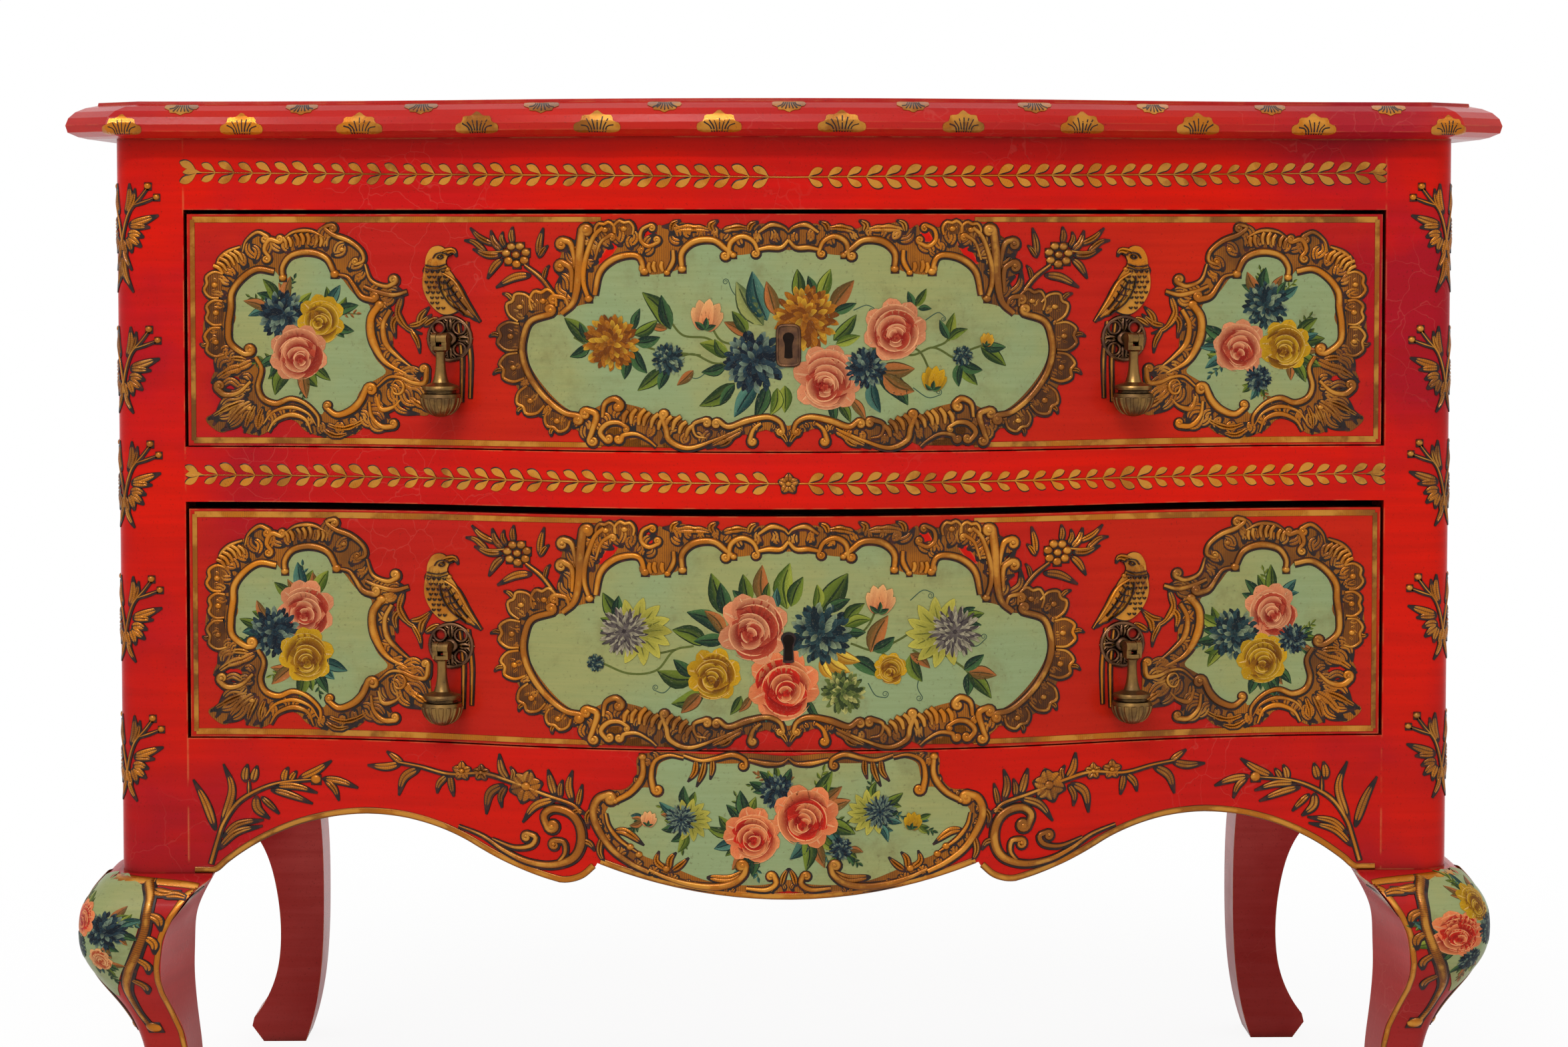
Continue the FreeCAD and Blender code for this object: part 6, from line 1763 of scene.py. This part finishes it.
def decorate_apron():
    """The apron's gilt edge, sprigs, scrolls and painted cartouche."""
    art = Ornament(on_front)
    tree = node_tree("front_apron")
    for start, stop in EDGE_RUNS:
        line = [(x, lower_edge(tree, x) + EDGE_BAND / 2) for x in np.linspace(start, stop, EDGE_POINTS)]
        art.scroll(line, EDGE_BAND, 0.8, ends=(1.0, 1.0), tone=0.5, shade=False)
    art.boldness = CARTOUCHE_BOLDNESS
    painted_field(art, mirrored_outline(APRON_GROUND), mirrored_outline(APRON_FIELD))
    for mirror in (1, -1):
        art.place(0, 0, mirror)
        apron_corner(art)
        apron_spray(art)
        apron_scroll(art)
        apron_half(art)
    art.place(0, 0)
    art.bouquet(APRON_BOUQUET)
    art.finish("apron", "carcass")


LEG_LINE = 5.2
LEG_WIDTH = 0.09
LEG_LINE_HEIGHTS = range(224, 6, -6)
KNEE_LINE = [(-28, 222), (-38, 208), (-41, 187), (-35, 166), (-25, 149), (-14, 131), (-9, 112), (-10, 97)]
LEG_GROUND = [(0, 223), (-26, 219), (-35, 206), (-37, 187), (-31, 166), (-21, 149), (-8, 133), (0, 127)]
LEG_BOUQUETS = {
    -1: [
        ("dahlia", -16, 184, 13, "ink", (120, 160, 200, 260)), ("rose", 6, 192, 12, "red", (30, 60, 90)),
        ("rose", -10, 160, 8, "peach", (200, 250, 300)), ("dahlia", 12, 170, 9, "blue", (340, 300, 20)),
    ],
    1: [
        ("rose", -20, 178, 16, "red", (200, 160, 250)), ("rose", -4, 202, 12, "yellow", (60, 100, 140)),
        ("dahlia", 8, 180, 11, "ink", (0, 40, 320)), ("dahlia", -8, 156, 8, "ink", (230, 270, 310)),
    ],
}


def inner_edge(tree, side, height):
    """How far across the inner front edge of a leg stands at a height, in millimetres."""
    for reach in np.arange(HALF_CASE - LEG_WIDTH, HALF_CASE, MM):
        hit, normal = tree.ray_cast(Vector((side * reach, -FAR_OFF, height * MM)), Vector((0, 1, 0)))[:2]
        if hit is not None and normal.y < -0.6:
            break
    return side * reach / MM


def decorate_leg(side, name):
    """The knee's painted cartouche, its gilt border and the gilt line down the leg's inner edge."""
    node = f"front_{name}_leg"
    corner = side * (HALF_CASE + POST_FRONT) * math.sqrt(0.5) / MM
    knee = Ornament(cast_on(node, (-side, 1, 0)))
    for face in (-1, 1):
        knee.place(corner, 0, side * face)
        knee.fill("ground", LEG_GROUND + [(0.4, 175)], GROUND_HEIGHT, cell=(6.0, 6.0))
        knee.scroll(KNEE_LINE, 6.0, 2.2, ends=(0.8, 0.6), hatch=0.8, tone=0.1)
        knee.bead(-12, 96, 4.8, 2.8, shade=True)
        leaves(knee, (
            ([(-34, 216), (-44, 213), (-52, 215)], 6.0), ([(-40, 198), (-48, 193), (-50, 184)], 6.0),
            ([(-40, 180), (-46, 174), (-45, 165)], 6.0), ([(-33, 162), (-38, 155), (-35, 147)], 5.4),
            ([(-22, 143), (-27, 136), (-24, 128)], 5.0),
        ), 1.6)
    knee.place(corner, 0, side)
    knee.bouquet(LEG_BOUQUETS[side])
    knee.finish(f"{name}_knee", "carcass")
    front = Ornament(cast_on(node, (0, 1, 0)))
    tree = node_tree(node)
    line = [(inner_edge(tree, side, up) + side * LEG_LINE / 2, up) for up in LEG_LINE_HEIGHTS]
    front.scroll(line, LEG_LINE, 0.7, ends=(1.0, 0.8), tone=0.55, shade=False)
    front.place(0, 0, -side)
    front.leaf([(-512, 211), (-500, 212), (-487, 208)], 6.0, 1.4)
    front.finish(f"{name}_leg", "carcass")


# Gilt shells along the top's moulded edge: where a row starts, its spacing and count, size and height

SHELL_STEP = 2.1
EDGE_SHELLS = ((-441, 96.5, 10, 35, 17, 833), (-538, 1076, 2, 30, 16, 833), (-491, 98.2, 11, 27, -9, 857))
EDGE_SHELL = [(-0.5, 0.1), (-0.49, 0.4), (-0.36, 0.5), (-0.32, 0.76), (-0.14, 0.8), (0, 1.0), (0.14, 0.8),
              (0.32, 0.76), (0.36, 0.5), (0.49, 0.4), (0.5, 0.1), (0.3, 0.0), (0, 0.05), (-0.3, 0.0)]


def edge_shell(art, width, height):
    """A scalloped gilt shell with dark brush strokes, hanging when its height is negative."""
    outline = [(x * width, z * height) for x, z in EDGE_SHELL]
    art.fill("gilding", outline, 0.5, (0.9, 0.0, draw.uniform(0.4, 1), 1), (3.0, 2.0))
    for share in np.linspace(-0.85, 0.85, 7):
        tip = (share * width * 0.42, height * (0.78 - 0.4 * share ** 2) * draw.uniform(0.7, 1))
        middle = (share * width * 0.26, 0.3 * height)
        foot = (share * width * 0.2, 0.05 * height)
        art.stroke([foot, middle, tip], draw.uniform(0.3, 0.55), 0.65, SHELL_STEP, 0.1)


def decorate_top():
    """The rows of shells on the top's edge."""
    art = Ornament(cast_on("top_board", (0, 1, 0)))
    for start, spacing, count, width, height, up in EDGE_SHELLS:
        for k in range(count):
            art.place(start + k * spacing, up)
            edge_shell(art, width * draw.uniform(0.92, 1.06), height)
    art.finish("top_edge", "carcass")


# Leaf garlands on the frieze and the middle rail: one pair of leaves, repeated along lines by a node tree

GARLAND_REACH = (16, 482)
GARLAND_POINTS = 60
GARLAND_SPACING = 0.0152
GARLAND_SEED = 5
GARLAND_SIZES = (0.88, 1.12)
STEM_HALF, STEM_END = 240, 489
GARLAND_HEIGHTS = {"frieze": (797.5, 802.5), "middle_rail": (553.5, 555)}


def garland_tree():
    """Pairs of leaves set along lines, turned by each line's own way and an out-of-surface attribute."""
    tree = bpy.data.node_groups.new("garland", "GeometryNodeTree")
    for label, kind in (("Lines", "Geometry"), ("Leaf", "Object"), ("Spacing", "Float"), ("Seed", "Int"),
                        ("Finish", "Material")):
        tree.interface.new_socket(label, in_out="INPUT", socket_type=f"NodeSocket{kind}")
    tree.interface.new_socket("Leaves", in_out="OUTPUT", socket_type="NodeSocketGeometry")
    start = tree.nodes.new("NodeGroupInput").outputs
    curves = add(tree, "GeometryNodeMeshToCurve", {"Mesh": start["Lines"]}).outputs[0]
    marks = add(tree, "GeometryNodeResampleCurve", {"Curve": curves, "Length": start["Spacing"]},
                mode="LENGTH").outputs[0]
    out = add(tree, "GeometryNodeInputNamedAttribute", {"Name": "out"},
              data_type="FLOAT_VECTOR").outputs["Attribute"]
    along = add(tree, "GeometryNodeInputTangent").outputs[0]
    turned = add(tree, "FunctionNodeAxesToRotation", {"Primary Axis": out, "Secondary Axis": along},
                 primary_axis="Z", secondary_axis="X").outputs[0]
    leaf = add(tree, "GeometryNodeObjectInfo", {"Object": start["Leaf"]}).outputs["Geometry"]
    size = add(tree, "FunctionNodeRandomValue", {2: GARLAND_SIZES[0], 3: GARLAND_SIZES[1],
                                                 "Seed": start["Seed"]}, data_type="FLOAT").outputs[1]
    set_out = add(tree, "GeometryNodeInstanceOnPoints",
                  {"Points": marks, "Instance": leaf, "Rotation": turned, "Scale": size}).outputs[0]
    whole = add(tree, "GeometryNodeRealizeInstances", {"Geometry": set_out}).outputs[0]
    dressed = add(tree, "GeometryNodeSetMaterial", {"Geometry": whole,
                                                    "Material": start["Finish"]}).outputs[0]
    tree.links.new(dressed, tree.nodes.new("NodeGroupOutput").inputs["Leaves"])
    return tree


def garland_lines():
    """The lines that the leaves follow, from the middle to each end, with each point's way out."""
    points, edges, outward = [], [], []
    level_line = np.zeros(GARLAND_POINTS)
    for middle, end in GARLAND_HEIGHTS.values():
        for side in (-1, 1):
            first = len(points)
            across = side * np.linspace(*GARLAND_REACH, GARLAND_POINTS)
            flat = np.column_stack([across, np.linspace(middle, end, GARLAND_POINTS), level_line])
            points += on_front(flat).tolist()
            lean = serpentine(across * MM)[1]
            outward += np.column_stack([np.sin(lean), -np.cos(lean), level_line]).tolist()
            edges += [(first + k, first + k + 1) for k in range(GARLAND_POINTS - 1)]
    mesh = bpy.data.meshes.new("garland_lines")
    mesh.from_pydata(points, edges, [])
    way = mesh.attributes.new("out", "FLOAT_VECTOR", "POINT")
    way.data.foreach_set("vector", np.array(outward, np.float32).ravel())
    return mesh


def flat_lay(flat):
    """A lay that stays flat."""
    return flat * MM


def make_garlands():
    """The leaf garlands, one piece for each finish, and their stems."""
    tree = garland_tree()
    sockets = {item.name: item.identifier for item in tree.interface.items_tree if item.in_out == "INPUT"}
    pair = Ornament(flat_lay)
    for way in (-1, 1):
        pair.gold_leaf([(0, way * 0.6), (5.0, way * 4.6), (12.0, way * 7.4)], 6.2)
    for finish in ("gilding", "shade"):
        leaf = pair.shells[finish].build(f"leaf_pair_{finish}", flat_lay, FINISHES[finish])
        lines = put("garland_lines", garland_lines())
        grown = lines.modifiers.new("garland", "NODES")
        grown.node_group = tree
        for label, value in (("Leaf", leaf), ("Spacing", GARLAND_SPACING), ("Seed", GARLAND_SEED),
                             ("Finish", FINISHES[finish])):
            grown[sockets[label]] = value
        whole = bpy.data.meshes.new_from_object(lines.evaluated_get(bpy.context.evaluated_depsgraph_get()))
        for spent in (lines, leaf):
            bpy.data.objects.remove(spent)
        piece = put(f"garland_{finish}", whole)
        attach(piece, "carcass")
    stems = Ornament(on_front)
    for middle, end in GARLAND_HEIGHTS.values():
        for side in (-1, 1):
            stems.scroll([(0, middle), (side * STEM_HALF, (middle + end) / 2), (side * STEM_END, end)], 1.6,
                         0.9, ends=(0.8, 0.6), shade=False)
            stems.gold_leaf([(side * 478, end), (side * 485, end + 1), (side * 493, end)], 5.4)
    blossom(stems, 0, GARLAND_HEIGHTS["middle_rail"][0], 9.0, 5)
    stems.finish("garland_stems", "carcass")


# Stage

def seen_directly(tree):
    """One for a ray from the camera or off a mirror-like surface, zero for the light that is gathered."""
    path = add(tree, "ShaderNodeLightPath").outputs
    mirrored = calc(tree, "MAXIMUM", path["Is Glossy Ray"], path["Is Transmission Ray"])
    return calc(tree, "MAXIMUM", path["Is Camera Ray"], mirrored)


def make_floor():
    """A pale floor that keeps a faint shadow near the chest and turns white further off."""
    made, tree, place = new_material("studio_floor")
    colour = blend(tree, noise(tree, place, 3.0), linear(246, 246, 246), linear(250, 250, 250))
    looks = {"Base Color": colour, "Roughness": 0.8, "Specular IOR Level": 0.1}
    pale = add(tree, "ShaderNodeBsdfPrincipled", looks)
    white = add(tree, "ShaderNodeEmission", {"Color": (1, 1, 1, 1), "Strength": 1.0})
    away = add(tree, "ShaderNodeVectorMath", {0: place}, operation="LENGTH").outputs["Value"]
    share = calc(tree, "MULTIPLY", seen_directly(tree), spread(tree, away, 0.6, 1.6, 0.91, 1.0))
    mixed = add(tree, "ShaderNodeMixShader", {0: share, 1: pale.outputs[0], 2: white.outputs[0]})
    add(tree, "ShaderNodeOutputMaterial", {"Surface": mixed.outputs[0]})
    bpy.ops.mesh.primitive_plane_add(size=60.0)
    floor = bpy.context.object
    floor.name = "studio_floor"
    floor.data.materials.append(made)


def make_light(name, place, target, size, power):
    """A long lamp aimed at a target."""
    lamp = bpy.data.lights.new(name, "AREA")
    lamp.shape = "RECTANGLE"
    lamp.size, lamp.size_y = size
    lamp.energy = power
    holder = put(name, lamp)
    holder.location = place
    holder.rotation_euler = (Vector(target) - Vector(place)).to_track_quat("-Z", "Y").to_euler()


def make_world():
    """Even studio light; the camera and mirror-like surfaces see it as a white background."""
    world = bpy.data.worlds.new("studio")
    bpy.context.scene.world = world
    world.use_nodes = True
    tree = world.node_tree
    tree.nodes.clear()
    seen = seen_directly(tree)
    soft = add(tree, "ShaderNodeBackground", {"Color": (1, 1, 1, 1), "Strength": 0.68})
    white = add(tree, "ShaderNodeBackground", {"Color": (1, 1, 1, 1), "Strength": 1.0})
    mixed = add(tree, "ShaderNodeMixShader", {0: seen, 1: soft.outputs[0], 2: white.outputs[0]})
    add(tree, "ShaderNodeOutputWorld", {"Surface": mixed.outputs[0]})


def make_sun():
    """Soft daylight from the front."""
    sun = bpy.data.lights.new("window_light", "SUN")
    sun.energy = 1.0
    sun.angle = math.radians(50)
    put("window_light", sun).rotation_euler = (math.radians(38), math.radians(-14), 0)


def make_camera():
    """The photograph's view: just below the top, almost straight on."""
    distance, height, tilt, yaw = 3.0, 0.758, 3.065, 1.0
    lens = bpy.data.cameras.new("view")
    lens.sensor_width = 36.0
    lens.lens = 83.92
    lens.shift_x = -0.0016
    lens.shift_y = -0.0642
    turn = math.radians(yaw)
    holder = put("view", lens)
    holder.location = (-distance * math.sin(turn), POST_FRONT - distance * math.cos(turn), height)
    holder.rotation_euler = (math.radians(90 - tilt), 0, -turn)
    bpy.context.scene.camera = holder


dress_cad_nodes()
for level in DRAWERS:
    decorate_drawer(level)
decorate_posts()
decorate_apron()
for side, name in SIDES:
    decorate_leg(side, name)
decorate_top()
make_garlands()
flute_drops()

make_floor()
make_world()
make_sun()
make_light("strip_light", place=(-0.5, -2.2, 2.3), target=(0, 0, 0.6), size=(1.3, 0.1), power=22)
make_camera()
bpy.context.scene.view_settings.view_transform = "Standard"
